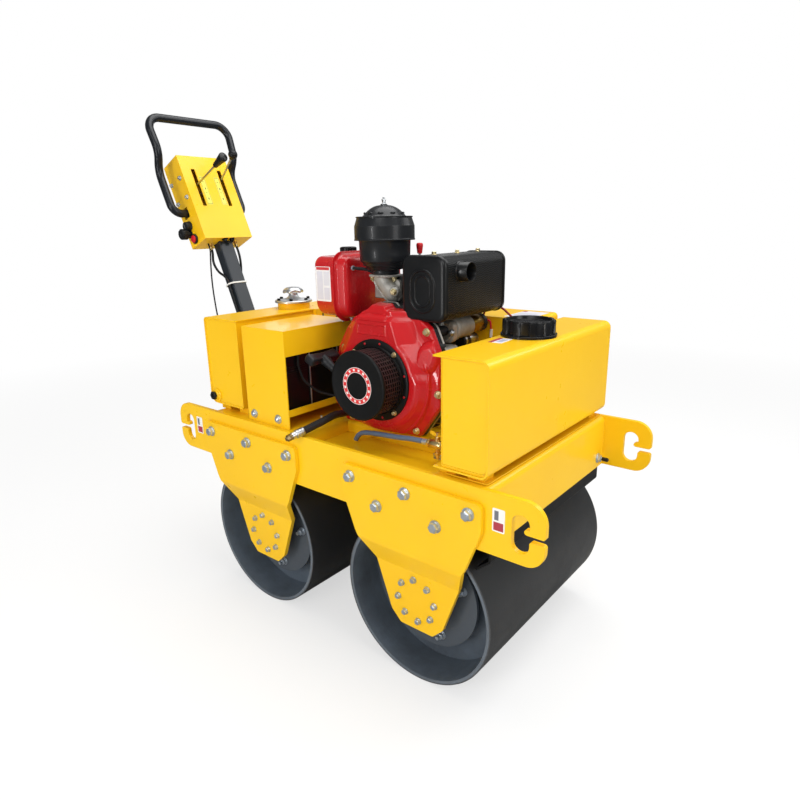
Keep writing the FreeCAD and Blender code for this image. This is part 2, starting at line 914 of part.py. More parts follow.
def intake_elbow():
    """Cast elbow from the head's near face up to the air cleaner."""
    flange_top = cleaner_bottom
    flange = block(V(cleaner_x - elbow_flange_half, cleaner_y - 30, flange_top - elbow_flange_thickness),
                   V(cleaner_x + elbow_flange_half, cleaner_y + 30, flange_top))
    head_face = cylinder_y - head_depth / 2
    turn = V(cleaner_x, cleaner_y - 6, elbow_port_z)
    throat = rod(turn, UP, elbow_radius, flange_top - elbow_port_z)
    knee = Part.makeSphere(elbow_radius, turn)
    arm = rod(turn, V(elbow_shift, head_face - turn.y, 0), elbow_radius, head_face - turn.y + elbow_radius)
    seat = block(V(cleaner_x + elbow_shift - elbow_seat_half, head_face - 10, elbow_port_z - elbow_seat_half),
                 V(cleaner_x + elbow_shift + elbow_seat_half, head_face, elbow_port_z + elbow_seat_half))
    whole = fused([flange, throat, knee, arm, seat])
    return whole.cut(block(V(-500, head_face, 0), V(500, 500, 2000)))


def muffler():
    """Box silencer with rolled rims and a short tail pipe."""
    def ring(reach, low, high):
        return slab([
            (muffler_rear - reach, muffler_bottom - reach, muffler_corner),
            (muffler_front + reach, muffler_bottom - reach, muffler_corner),
            (muffler_front + reach, muffler_top + reach, muffler_corner),
            (muffler_rear - reach, muffler_top + reach, muffler_corner),
        ], "y", low, high)
    body = ring(-muffler_rim, muffler_near, muffler_far)
    near_rim = ring(0, muffler_near, muffler_near + muffler_rim_thickness)
    far_rim = ring(0, muffler_far - muffler_rim_thickness, muffler_far)
    face = muffler_front - muffler_rim
    tail = rod(V(face - tailpipe_depth, tailpipe_y, tailpipe_z), FORWARD, tailpipe_radius,
               tailpipe_depth + tailpipe_length)
    bore = rod(V(face - tailpipe_depth / 2, tailpipe_y, tailpipe_z), FORWARD,
               tailpipe_radius - tailpipe_wall, tailpipe_depth + tailpipe_length)
    seam = rod(V(face - tailpipe_depth, tailpipe_y, tailpipe_z), FORWARD, tailpipe_seam_radius,
               tailpipe_depth + muffler_rim)
    return fused([body, near_rim, far_rim, tail, seam]).cut(bore)


def starter_motor():
    """Geared starter lying along the engine's front side, flanged to the back plate."""
    pieces = []
    start = back_plate_y
    for radius, end in starter_sections:
        pieces.append(rod(V(starter_x, start, starter_z), LEFT, radius, end - start))
        start = end
    return fused(pieces).cut(engine_block_envelope())


def engine_block_envelope():
    """Space taken by the crankcase, kept free by what is bolted to it."""
    return block(V(block_rear, back_plate_y, bed_top), V(block_front, block_far, block_top))


def decompression_lever():
    foot = V(lever_x, lever_y, head_top)
    stem = rod(foot, UP, lever_stem_radius, lever_stem_height)
    ball = Part.makeSphere(lever_ball_radius, foot + UP * (lever_stem_height + lever_ball_radius / 2))
    return stem.fuse(ball)


def tank_pads(rear, front, half_width, top):
    """Four spacer pads that lift a tank off its deck."""
    pads = []
    for x in (rear, front - pad_size):
        for y in (-half_width, half_width - pad_size):
            pads.append(block(V(x, y, frame_top), V(x + pad_size, y + pad_size, top)))
    return pads


def water_tank():
    """Sheet wrapped over top, front and bottom past the inset side plates, on pads."""
    foot = water_bottom - tank_plate
    body = slab([
        (water_rear, water_bottom, 0),
        (water_front - tank_plate, water_bottom, water_bend),
        (water_front - tank_plate, water_top - tank_plate, water_bend),
        (water_rear, water_top - tank_plate, 0),
    ], "y", -water_half_width, water_half_width)
    line = [
        (water_plate_rear, foot),
        (water_front, foot),
        (water_front, water_top),
        (water_plate_rear, water_top),
    ]
    lip = water_half_width + tank_plate_lip
    wrap = folded_sheet(line, tank_plate, water_bend, "y", -lip, lip)
    pads = tank_pads(water_plate_rear + 5, water_front - water_bend - 5, water_half_width - 15, foot)
    return fused([body, wrap] + pads)


def water_cap():
    """Large lobed screw cap on its base ring."""
    centre = V(cap_x, cap_y, water_top)
    base = rod(centre, UP, cap_base_radius, cap_base_height)
    top = rod(centre + UP * cap_base_height, UP, cap_radius, cap_height)
    for index in range(cap_lobes):
        angle = 2 * math.pi * index / cap_lobes
        offset = V(math.cos(angle), math.sin(angle), 0) * (cap_radius + cap_groove_radius * 0.4)
        top = top.cut(rod(centre + UP * cap_base_height + offset, UP, cap_groove_radius, cap_height))
    dish_foot = centre + UP * (cap_base_height + cap_height - cap_dish_depth)
    dish = rod(dish_foot, UP, cap_dish_radius, cap_dish_depth)
    return base.fuse(top).cut(dish)


def oil_tank():
    """Hydraulic oil tank: sheet wrapped over top, rear and bottom past the side plates, on pads."""
    wrap_rear = oil_rear - oil_plate_lip
    body = slab([
        (oil_rear, oil_bottom + tank_plate, oil_low_bend),
        (oil_front, oil_bottom + tank_plate, 0),
        (oil_front, oil_top, 0),
        (oil_rear, oil_top, oil_top_bend),
    ], "y", -oil_half_width, oil_half_width)
    line = [
        (oil_front + oil_plate_lip, oil_top + tank_plate),
        (wrap_rear, oil_top + tank_plate),
        (wrap_rear, oil_bottom),
        (oil_front, oil_bottom),
    ]
    lip = oil_half_width + oil_plate_lip
    wrap = folded_sheet(line, tank_plate, [0, oil_top_bend, oil_low_bend, 0], "y", -lip, lip)
    lug = block(V(oil_front, oil_lug_near, oil_top - oil_lug_drop),
                V(oil_front + oil_lug_depth, oil_lug_near + oil_lug_width, oil_top + tank_plate))
    neck = rod(V((oil_rear + oil_front) / 2, filler_y, oil_top + tank_plate), UP,
               filler_neck_radius, filler_neck_height)
    boss = rod(V(sight_x, -oil_half_width - sight_boss_length, sight_z), LEFT,
               sight_boss_radius, sight_boss_length)
    pads = tank_pads(oil_rear + oil_low_bend, oil_front, oil_half_width - 15, oil_bottom)
    return fused([body, wrap, lug, neck, boss] + pads)


def oil_filler():
    """Filler flange with a lobed knob on a flared stem."""
    seat = V((oil_rear + oil_front) / 2, filler_y, oil_top + tank_plate + filler_neck_height)
    flange = rod(seat, UP, filler_flange_radius, filler_flange_thickness)
    foot = seat + UP * filler_flange_thickness
    skirt = foot.z + filler_stem_height
    crown = foot.z + filler_knob_height
    rim = filler_knob_radius
    stem = Part.makeCone(filler_stem_large, filler_stem_small, filler_stem_height + 1, foot, UP)
    profile = [
        (rim * 0.8, skirt),
        (rim, skirt + 3),
        (rim, skirt + 8),
        (rim * 0.75, crown - 4),
        (rim * 0.4, crown),
    ]
    knob = turned(profile, seat)
    for index in range(filler_lobes):
        angle = 2 * math.pi * index / filler_lobes
        offset = V(math.cos(angle), math.sin(angle), 0) * (rim + filler_groove_radius * 0.4)
        knob = knob.cut(rod(V(seat.x, seat.y, skirt) + offset, UP, filler_groove_radius, filler_knob_height))
    return fused([flange, stem, knob])


def sight_plug():
    start = V(sight_x, -oil_half_width - sight_boss_length - sight_plug_length, sight_z)
    return rod(start, LEFT, sight_plug_radius, sight_plug_length)


def battery_box():
    """Sheet box open toward the engine, with a band above and a lip below the opening."""
    whole = block(V(box_rear, box_near, frame_top), V(box_front, box_far, box_top))
    floor_bottom = box_floor_top - box_sheet
    inside = block(V(box_rear + box_sheet, box_near + box_sheet, box_floor_top),
                   V(box_front - box_sheet, box_far - box_sheet, box_top - box_sheet))
    opening = block(V(box_front - box_sheet, box_near + box_sheet, box_floor_top + box_lip_height),
                    V(box_front, box_far - box_sheet, box_top - box_band_height))
    below = block(V(box_rear + box_sheet, box_near + box_sheet, frame_top),
                  V(box_front, box_far - box_sheet, floor_bottom))
    return whole.cut(inside).cut(opening).cut(below)


def battery():
    low = V(box_rear + battery_clearance, box_near + battery_clearance, box_floor_top)
    high = V(box_front - battery_clearance, box_far - battery_clearance, battery_top)
    case = block(low, high)
    posts = []
    for y in (low.y + terminal_inset, high.y - terminal_inset):
        posts.append(rod(V(low.x + terminal_inset, y, battery_top), UP, terminal_radius, terminal_height))
    return fused([case] + posts)


def drive_guard():
    """Folded cover over the engine's output side; open below, on the well floor."""
    outer = slab([
        (guard_rear, well_floor, 0),
        (guard_front, well_floor, 0),
        (guard_front, guard_top, guard_corner),
        (guard_rear, guard_top, guard_corner),
    ], "y", guard_near, guard_far)
    inner = slab([
        (guard_rear + guard_sheet, well_floor, 0),
        (guard_front - guard_sheet, well_floor, 0),
        (guard_front - guard_sheet, guard_top - guard_sheet, guard_corner - guard_sheet),
        (guard_rear + guard_sheet, guard_top - guard_sheet, guard_corner - guard_sheet),
    ], "y", guard_near + guard_sheet, guard_far - guard_sheet)
    return outer.cut(inner)


# ---- handle: built upright about its pivot, then leaned back ----
lean = math.radians(column_lean)
pivot = V(pivot_x, 0, pivot_z)
column_axis = V(-math.sin(lean), 0, math.cos(lean))
panel_angle = math.radians(panel_lean)
panel_up = V(-math.sin(panel_angle), 0, math.cos(panel_angle))
panel_front = V(math.cos(panel_angle), 0, math.sin(panel_angle))
panel_corner = V(panel_x, 0, panel_z)


def on_panel(up, across, out):
    """Point from the panel's lower front edge: up its face, across it and out of it."""
    return panel_corner + panel_up * up + LEFT * across + panel_front * out


def panel_block(low, high):
    """Box in the panel's own frame; low and high are (out, across, up)."""
    size = V(*high) - V(*low)
    piece = Part.makeBox(size.x, size.y, size.z, V(*low))
    piece.Placement = FreeCAD.Placement(panel_corner, FreeCAD.Rotation(LEFT, -panel_lean))
    return piece


def column_length():
    """From the pivot to just under the handlebar's cross tube inside the panel box."""
    seat = on_panel(bar_entry, 0, bar_depth) - column_axis * (bar_radius + bar_seat_gap)
    return (seat - pivot).dot(column_axis)


def handle_column():
    """Rectangular tube on the fold pin."""
    length = column_length() + column_tail
    half_depth = column_depth / 2
    half_width = column_width / 2
    outer = slab([
        (-half_depth, -half_width, column_corner),
        (half_depth, -half_width, column_corner),
        (half_depth, half_width, column_corner),
        (-half_depth, half_width, column_corner),
    ], "z", -column_tail, length - column_tail)
    inner = block(V(-half_depth + column_wall, -half_width + column_wall, -column_tail),
                  V(half_depth - column_wall, half_width - column_wall, length - column_tail))
    tube = outer.cut(inner)
    sleeve = rod(V(0, -half_width, 0), LEFT, pivot_pin_radius + 6, column_width)
    bore = rod(V(0, -half_width - 1, 0), LEFT, pivot_pin_radius + pin_clearance, column_width + 2)
    whole = tube.fuse(sleeve).cut(bore)
    whole.Placement = FreeCAD.Placement(pivot, FreeCAD.Rotation(LEFT, -column_lean))
    return whole


def handle_foot():
    """Two cheeks on the rear cross plate with the fold pin between them."""
    inner = column_width / 2 + cheek_gap
    outer = inner + cheek_thickness
    cheeks = []
    for low in (-outer, inner):
        cheeks.append(slab([
            (rear_deck_end, pivot_z - cheek_height / 2, 0),
            (rear_deck_end, pivot_z + cheek_height / 2, 0),
            (pivot_x - 10, pivot_z + cheek_nose, 15),
            (pivot_x - cheek_nose, pivot_z + cheek_nose * 0.6, 12),
            (pivot_x - cheek_nose, pivot_z - cheek_nose * 0.6, 12),
            (pivot_x - 10, pivot_z - cheek_nose, 15),
        ], "y", low, low + cheek_thickness))
    plate = block(V(rear_deck_end - 6, -outer - 20, pivot_z - cheek_height / 2),
                  V(rear_deck_end, outer + 20, pivot_z + cheek_height / 2))
    pin = rod(V(pivot_x, -outer - 8, pivot_z), LEFT, pivot_pin_radius, 2 * outer + 16)
    return fused(cheeks + [plate, pin])


def control_box():
    """Hollow panel box; the column enters below and the handlebar at both sides."""
    half = panel_width / 2
    shell = panel_block((-panel_depth, -half, 0), (0, half, panel_height))
    hollow = panel_block((-panel_depth + panel_sheet, -half + panel_sheet, panel_sheet),
                         (-panel_sheet, half - panel_sheet, panel_height - panel_sheet))
    shell = shell.cut(hollow)
    holes = panel_block(
        (bar_depth - bar_hole_depth / 2, -half, bar_entry - bar_hole_height / 2),
        (bar_depth + bar_hole_depth / 2, half, bar_entry + bar_hole_height / 2))
    shell = shell.cut(holes)
    for across in (-lever_slot_offset, lever_slot_offset):
        cut = panel_block((-panel_sheet, across - lever_slot_width / 2, lever_slot_start),
                          (0, across + lever_slot_width / 2, lever_slot_start + slot_reach))
        shell = shell.cut(cut)
    return shell.cut(column_space(0))


def column_space(gap):
    """The column's outer form, for the hole it passes through."""
    length = column_length()
    piece = block(V(-column_depth / 2 - gap, -column_width / 2 - gap, 0),
                  V(column_depth / 2 + gap, column_width / 2 + gap, length))
    piece.Placement = FreeCAD.Placement(pivot, FreeCAD.Rotation(LEFT, -column_lean))
    return piece


def handlebar():
    """Closed loop of tube through the panel box, up both sides and across the top."""
    leg = [
        on_panel(bar_entry, bar_low_half, bar_depth),
        on_panel(bar_joggle_low, bar_low_half, bar_depth),
        on_panel(bar_joggle_high, bar_joggle_half, bar_joggle_out),
        on_panel(bar_reach, bar_high_half, bar_top_out),
    ]
    middle = leg[-1]
    path = [V(leg[0].x, 0, leg[0].z)] + leg + [V(middle.x, 0, middle.z)]
    radii = [0, 32, 70, 70, 45, 0]
    half = pipe(path, radii, bar_radius)
    return fused([half, mirrored(half)])


def travel_levers():
    """Two rods on one pivot shaft, out of the panel slots: a tapered grip and a ball."""
    half = panel_width / 2 - panel_sheet - cable_gap
    shaft = rod(on_panel(travel_pivot_up, -half, travel_pivot_depth), LEFT, travel_pivot_radius, 2 * half)
    pieces = [shaft]
    start = on_panel(travel_pivot_up, -lever_slot_offset, travel_pivot_depth)
    direction = (panel_front + panel_up * grip_rise).normalize()
    pieces.append(rod(start, direction, travel_rod_radius, grip_end - travel_pivot_depth - 5))
    tip = start + direction * (grip_start - travel_pivot_depth)
    pieces.append(Part.makeCone(grip_neck_radius, grip_head_radius, grip_end - grip_start, tip, direction))
    start = on_panel(travel_pivot_up, lever_slot_offset, travel_pivot_depth)
    ball = on_panel(travel_pivot_up + ball_up, lever_slot_offset, ball_out)
    direction = (ball - start).normalize()
    pieces.append(rod(start, direction, travel_rod_radius, (ball - start).Length))
    pieces.append(Part.makeSphere(ball_radius, ball))
    return fused(pieces)


def panel_switches():
    """Key switch, speed knob and stop button on the panel's right side."""
    pieces = []
    for up, out, radius, length in switch_table:
        pieces.append(rod(on_panel(up, -panel_width / 2, out), LEFT * -1, radius, length))
    return pieces


def column_point(rise, across, out):
    """Point at a height above the pivot: across the machine, and out from the column's axis."""
    along = rise / column_axis.z
    centre = pivot + column_axis * along
    return centre + LEFT * across + V(column_axis.z, 0, -column_axis.x) * out


near_run = -column_width / 2 - cable_gap - thick_cable_radius
far_run = -near_run
throttle_route = [
    on_panel(-cable_gap, -60, -44),
    on_panel(-22, -60, -44),
    pivot + V(-216, -60, 479),
    pivot + V(-220, -60, 429),
    pivot + V(-219, -60, 374),
    pivot + V(-213, -58, 294),
    pivot + V(-197, -55, 219),
    pivot + V(-167, -50, 149),
    pivot + V(-125, -43, 98),
    pivot + V(-83, -36, 66),
    pivot + V(-48, -30, 50),
]
near_route = [
    on_panel(-cable_gap, -44, -58),
    on_panel(-26, -44, -58),
    pivot + V(-228, -43, 469),
    pivot + V(-211, -38, 439),
    column_point(416, near_run, 4),
    column_point(344, near_run - 0.5, 2),
    column_point(274, near_run, 0),
    column_point(204, near_run - 0.5, 1),
    column_point(134, near_run, -1),
    column_point(84, near_run, 0),
]
far_route = [
    on_panel(-cable_gap, 45, -38),
    on_panel(-50, 45, -38),
    pivot + V(-188, 43, 452),
    column_point(416, far_run, -6),
    column_point(344, far_run + 0.5, far_cable_out),
    column_point(274, far_run, far_cable_out - 2),
    column_point(204, far_run + 0.5, far_cable_out),
    column_point(134, far_run, far_cable_out + 2),
    column_point(84, far_run, far_cable_out),
]


def control_cables():
    """Throttle cable hanging behind the column, and two cables tied along its sides."""
    return [
        cord("throttle_cable", throttle_route, thin_cable_radius),
        cord("near_cable", near_route, thick_cable_radius),
        cord("far_cable", far_route, thick_cable_radius),
    ]


def cable_tie():
    """Plastic tie drawn tight round the column and its two cables."""
    half = column_width / 2 + cable_gap
    reach = half + 2 * thick_cable_radius + 2 * cable_gap
    depth = column_depth / 2 + cable_gap
    grip = thick_cable_radius + 1

    def loop(more):
        return slab([
            (depth + more, -half - more, 0), (depth + more, half + more, 0),
            (far_cable_out + grip + 4 + more, reach + more, 0),
            (far_cable_out - grip - more, reach + more, 0),
            (-depth - more, half + more, 0), (-depth - more, -half - more, 0),
            (-grip - more, -reach - more, 0), (grip + 2 + more, -reach - more, 0),
        ], "z", 0, tie_height)
    tie = loop(tie_thickness).cut(loop(0))
    along = (tie_z - pivot_z) / column_axis.z
    tie.Placement = FreeCAD.Placement(pivot + column_axis * along, FreeCAD.Rotation(LEFT, -column_lean))
    return tie


def drain_valve():
    """Brass drain cock on a pipe from the crankcase sump."""
    centre = V(valve_x, valve_y, valve_z)
    path = [
        centre,
        V(valve_x, valve_pipe_y, valve_z),
        V(block_front, valve_pipe_y, valve_z),
    ]
    feed = pipe(path, [0, 2 * valve_pipe_radius, 0], valve_pipe_radius)
    body_length = valve_body_front + valve_body_rear
    body = rod(centre + FORWARD * valve_body_front, FORWARD * -1, valve_radius, body_length)
    stem = rod(centre, UP, valve_stem_radius, valve_stem_height)
    lever_bottom = valve_stem_height - valve_lever_thickness / 2
    lever = block(centre + V(-valve_lever_reach, -valve_lever_half, lever_bottom),
                  centre + V(valve_lever_reach, valve_lever_half, lever_bottom + valve_lever_thickness))
    tail = rod(centre, UP * -1, valve_tail_radius, valve_tail_length)
    return fused([feed, body, stem, lever, tail])


valve_centre = V(valve_x, valve_y, valve_z)
drain_hose_points = [
    valve_centre + V(-valve_body_rear, 0, 0),
    valve_centre + V(-72, 0, 0),
    valve_centre + V(-115, -0.5, -6),
    valve_centre + V(-161, 0, -9),
    valve_centre + V(-204, -0.5, -12),
    valve_centre + V(-238, 0, -17),
    valve_centre + V(-257, -1, -28),
    valve_centre + V(-263.5, -2, -42),
]
oil_hose_start = V(oil_hose_x, back_plate_y - back_plate_thickness - shroud_flange_thickness, oil_hose_z)
oil_hose_points = [
    oil_hose_start,
    oil_hose_start + V(0, -28, 0),
    oil_hose_start + V(9, -60, 9),
    oil_hose_start + V(5, -112, -2),
    oil_hose_start + V(-8, -162, -14),
]


def oil_hose_fitting():
    """Crimped ferrule and capped end of the oil drain hose."""
    end = oil_hose_points[-1]
    direction = (end - oil_hose_points[-2]).normalize()
    ferrule = rod(end, direction, ferrule_radius, ferrule_length)
    cap = rod(end + direction * ferrule_length, direction, hose_cap_radius, hose_cap_length)
    return ferrule.fuse(cap)


os.makedirs("parts", exist_ok=True)

save("side_plate_right", side_plate())
save("side_plate_left", mirrored(side_plate()))
save("rear_deck", rear_deck())
save("front_deck", front_deck())
save("well_floor", floor_plate())
save("engine_bed", engine_bed())
hubs = []
for end_name, axle_x, ring_turn in drum_axles:
    right_bracket = bracket(axle_x)
    save("bracket_" + end_name + "_right", right_bracket)
    save("bracket_" + end_name + "_left", mirrored(right_bracket))
    hubs.append(hub(axle_x))
    hubs.append(mirrored(hubs[-1]))
    save("drum_" + end_name + "_shell", drum_shell(axle_x))
    disc = drum_disc(axle_x)
    save("drum_" + end_name + "_discs", [disc, mirrored(disc)])
    buffers = drum_buffers(axle_x, ring_turn)
    save("drum_" + end_name + "_buffers", buffers + [mirrored(piece) for piece in buffers])
save("drum_hubs", hubs)
save("scraper_front", scraper(wheel_base / 2, front_deck_end))
save("scraper_rear", scraper(-wheel_base / 2, rear_deck_end))
save("engine_block", engine_block())
save("fan_shroud", fan_shroud())
save("recoil_starter", recoil_starter())
save("recoil_grip", recoil_grip())
save("fuel_tank", fuel_tank())
save("fuel_cap", fuel_cap())
save("air_cleaner", air_cleaner())
save("intake_elbow", intake_elbow())
save("muffler", muffler())
save("starter_motor", starter_motor())
save("decompression_lever", decompression_lever())
save("water_tank", water_tank())
save("water_tank_cap", water_cap())
save("oil_tank", oil_tank())
save("oil_filler", oil_filler())
save("oil_sight_plug", sight_plug())
save("battery_box", battery_box())
save("battery", battery())
save("drive_guard", drive_guard())
save("handle_foot", handle_foot())
save("handle_column", handle_column())
save("control_box", control_box())
save("handlebar", handlebar())
save("travel_levers", travel_levers())
save("panel_switches", panel_switches())
save("control_cables", control_cables())
save("cable_tie", cable_tie())
save("drain_valve", drain_valve())
save("drain_hose", cord("drain_hose", drain_hose_points, drain_hose_radius))
save("oil_drain_hose", cord("oil_drain_hose", oil_hose_points, hose_radius))
save("oil_hose_fitting", oil_hose_fitting())
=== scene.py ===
import bpy, bmesh, json, math
from mathutils import Matrix, Vector


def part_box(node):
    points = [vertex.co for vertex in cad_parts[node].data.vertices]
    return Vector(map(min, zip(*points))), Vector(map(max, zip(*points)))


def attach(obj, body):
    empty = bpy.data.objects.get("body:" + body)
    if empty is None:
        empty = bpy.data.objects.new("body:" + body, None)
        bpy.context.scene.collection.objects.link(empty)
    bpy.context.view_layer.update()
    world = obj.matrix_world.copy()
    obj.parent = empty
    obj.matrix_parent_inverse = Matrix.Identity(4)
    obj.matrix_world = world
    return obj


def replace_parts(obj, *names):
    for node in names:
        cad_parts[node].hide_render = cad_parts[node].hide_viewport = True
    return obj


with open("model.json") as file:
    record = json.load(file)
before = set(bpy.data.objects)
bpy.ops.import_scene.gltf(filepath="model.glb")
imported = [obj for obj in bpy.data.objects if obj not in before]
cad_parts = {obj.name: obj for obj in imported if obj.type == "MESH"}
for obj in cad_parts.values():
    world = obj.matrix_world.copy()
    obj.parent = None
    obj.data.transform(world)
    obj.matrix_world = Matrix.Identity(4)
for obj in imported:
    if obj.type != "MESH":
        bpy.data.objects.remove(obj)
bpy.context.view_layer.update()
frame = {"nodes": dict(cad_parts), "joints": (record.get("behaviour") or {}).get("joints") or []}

scene = bpy.context.scene
print("frame loaded")

# camera and lamps
viewpoint = {"place": (1.07796, -1.30419, 1.08658), "azimuth": 39.448, "elevation": 15.966,
             "roll": -1.096, "lens": 27.44}


def placeCamera():
    azimuth, elevation, roll = (math.radians(viewpoint[k]) for k in ("azimuth", "elevation", "roll"))
    back = Vector((math.sin(azimuth) * math.cos(elevation), -math.cos(azimuth) * math.cos(elevation),
                   math.sin(elevation)))
    right = (-back).cross(Vector((0, 0, 1))).normalized()
    up = right.cross(-back)
    rolledRight = right * math.cos(roll) + up * math.sin(roll)
    rolledUp = up * math.cos(roll) - right * math.sin(roll)
    data = bpy.data.cameras.new("camera")
    data.lens, data.sensor_width, data.clip_end = viewpoint["lens"], 36.0, 60.0
    camera = bpy.data.objects.new("camera", data)
    camera.matrix_world = Matrix((rolledRight, rolledUp, back)).transposed().to_4x4()
    camera.location = viewpoint["place"]
    scene.collection.objects.link(camera)
    scene.camera = camera


def softbox(name, place, aim, size, power):
    data = bpy.data.lights.new(name, "AREA")
    data.shape, data.size, data.size_y = "RECTANGLE", size[0], size[1]
    data.energy = power
    lamp = bpy.data.objects.new(name, data)
    lamp.location = place
    lamp.rotation_euler = (Vector(aim) - Vector(place)).to_track_quat("-Z", "Y").to_euler()
    scene.collection.objects.link(lamp)


class Wire:  # one output in a node tree; sums on it add Math nodes
    def __init__(self, graph, socket):
        self.graph, self.socket = graph, socket

    def calc(self, operation, *values):
        return self.graph.add("ShaderNodeMath", {"operation": operation}, dict(enumerate(values)))

    def __add__(self, other): return self.calc("ADD", self, other)
    def __radd__(self, other): return self.calc("ADD", other, self)
    def __sub__(self, other): return self.calc("SUBTRACT", self, other)
    def __rsub__(self, other): return self.calc("SUBTRACT", other, self)
    def __mul__(self, other): return self.calc("MULTIPLY", self, other)
    def __rmul__(self, other): return self.calc("MULTIPLY", other, self)
    def __truediv__(self, other): return self.calc("DIVIDE", self, other)
    def __rtruediv__(self, other): return self.calc("DIVIDE", other, self)
    def __pow__(self, other): return self.calc("POWER", self, other)
    def __gt__(self, other): return self.calc("GREATER_THAN", self, other)
    def __lt__(self, other): return self.calc("LESS_THAN", self, other)
    def __abs__(self): return self.calc("ABSOLUTE", self)
    def sin(self): return self.calc("SINE", self)
    def fraction(self): return self.calc("FRACT", self)
    def over(self, other): return self.calc("MAXIMUM", self, other)


class Graph:  # a node tree that is built in short calls
    def __init__(self, tree):
        self.tree = tree

    def add(self, kind, settings={}, values={}, out=0):
        node = self.tree.nodes.new(kind)
        for key, value in settings.items():
            if key == "stops":
                ramp = node.color_ramp.elements
                while len(ramp) < len(value):
                    ramp.new(1.0)
                for element, (place, colour) in zip(ramp, value):
                    element.position, element.color = place, colour
            else:
                setattr(node, key, value)
        for key, value in values.items():
            if isinstance(value, Wire):
                self.tree.links.new(value.socket, node.inputs[key])
            else:
                node.inputs[key].default_value = value
        return Wire(self, node.outputs[out]) if len(node.outputs) else None


def tone(code):  # display colour, as six hex digits, to linear
    parts = [int(code[i:i + 2], 16) / 255 for i in (0, 2, 4)]
    return tuple(p / 12.92 if p <= 0.04045 else ((p + 0.055) / 1.055) ** 2.4 for p in parts) + (1.0,)


class Finish:  # the steps that most surfaces share
    def __init__(self, name):
        self.material = bpy.data.materials.new(name)
        self.material.use_nodes = True
        self.material.node_tree.nodes.clear()
        self.graph = Graph(self.material.node_tree)
        self.add = self.graph.add
        self.place = self.add("ShaderNodeTexCoord", out="Object")

    def axes(self):
        split = self.add("ShaderNodeSeparateXYZ", {}, {0: self.place})
        return [Wire(self.graph, out) for out in split.socket.node.outputs]

    def uv(self):
        split = self.add("ShaderNodeSeparateXYZ", {}, {0: self.add("ShaderNodeTexCoord", out="UV")})
        return [Wire(self.graph, out) for out in split.socket.node.outputs][:2]

    def noise(self, scale, detail=3.0, rough=0.5, stretch=None):
        where = self.place
        if stretch:
            where = self.add("ShaderNodeMapping", {}, {"Vector": where, "Scale": stretch})
        return self.add("ShaderNodeTexNoise", {}, {"Vector": where, "Scale": scale, "Detail": detail,
                                                   "Roughness": rough})

    def band(self, value, low, high):  # 0 below low, 1 above high
        return self.add("ShaderNodeMapRange", {}, {0: value, 1: low, 2: high, 3: 0.0, 4: 1.0})

    def mix(self, factor, first, second):
        node = self.add("ShaderNodeMix", {"data_type": "RGBA"}, {}).socket.node
        for slotIndex, value in ((0, factor), (6, first), (7, second)):
            if isinstance(value, Wire):
                self.graph.tree.links.new(value.socket, node.inputs[slotIndex])
            else:
                node.inputs[slotIndex].default_value = value
        return Wire(self.graph, node.outputs[2])

    def rounded(self, radius):
        return self.add("ShaderNodeBevel", {"samples": 4}, {"Radius": radius})

    def bump(self, height, depth, strength=1.0, normal=None):
        values = {"Height": height, "Distance": depth, "Strength": strength}
        if normal:
            values["Normal"] = normal
        return self.add("ShaderNodeBump", {}, values)

    def close(self, colour, rough, normal=None, metal=0.0, **plain):
        values = {"Base Color": colour, "Roughness": rough, "Metallic": metal}
        if normal:
            values["Normal"] = normal
        values.update({k.replace("_", " "): v for k, v in plain.items()})
        shader = self.add("ShaderNodeBsdfPrincipled", {}, values)
        self.add("ShaderNodeOutputMaterial", {}, {"Surface": shader})
        return self.material


def enamel(name, colour, deep, rough=0.24, coat=0.3, edge=0.0016, grain=0.00004, shine=0.4, wave=0.00015):
    f = Finish(name)
    cloudy = f.noise(2.3, 4.0)
    fine = f.noise(46.0, 4.0)
    dusty = f.band(f.noise(7.0, 3.0, 0.6), 0.4, 0.9) * 0.06
    body = f.mix(f.band(cloudy, 0.35, 0.75) * 0.5 + fine * 0.1, colour, deep)
    body = f.mix(dusty, body, tuple(0.7 * c + 0.06 for c in colour[:3]) + (1.0,))
    sheet = f.bump(f.noise(7.0, 0.0), wave, 0.5, f.rounded(edge)) if wave else f.rounded(edge)
    peel = f.bump(f.noise(420.0, 2.0), grain, 0.4, sheet)
    return f.close(body, rough + fine * 0.1 + dusty * 0.7, peel, Coat_Weight=coat, Coat_Roughness=0.05,
                   Specular_IOR_Level=shine)


def metalFinish(name, colour, deep, rough, scale, depth, metal=1.0):
    f = Finish(name)
    patches = f.band(f.noise(scale * 0.12, 4.0, 0.6), 0.35, 0.7)
    grit = f.noise(scale, 3.0, 0.6)
    normal = f.bump(grit, depth, 0.7, f.rounded(0.0008))
    return f.close(f.mix(patches * 0.8 + grit * 0.2, colour, deep), rough + grit * 0.16, normal, metal)


def softFinish(name, colour, pale, rough, scale, depth, edge=0.001):
    f = Finish(name)
    grain = f.noise(scale, 3.0, 0.6)
    worn = f.band(f.noise(scale * 0.03, 5.0, 0.6), 0.45, 0.8)
    normal = f.bump(grain, depth, 0.7, f.rounded(edge))
    return f.close(f.mix(worn * 0.7 + grain * 0.15, colour, pale), rough + worn * 0.12, normal,
                   Specular_IOR_Level=0.3)


drumLook = {"axleX": 0.2835, "axleZ": 0.2125, "rolled": 0.2095, "rim": (0.2985, 0.2998)}


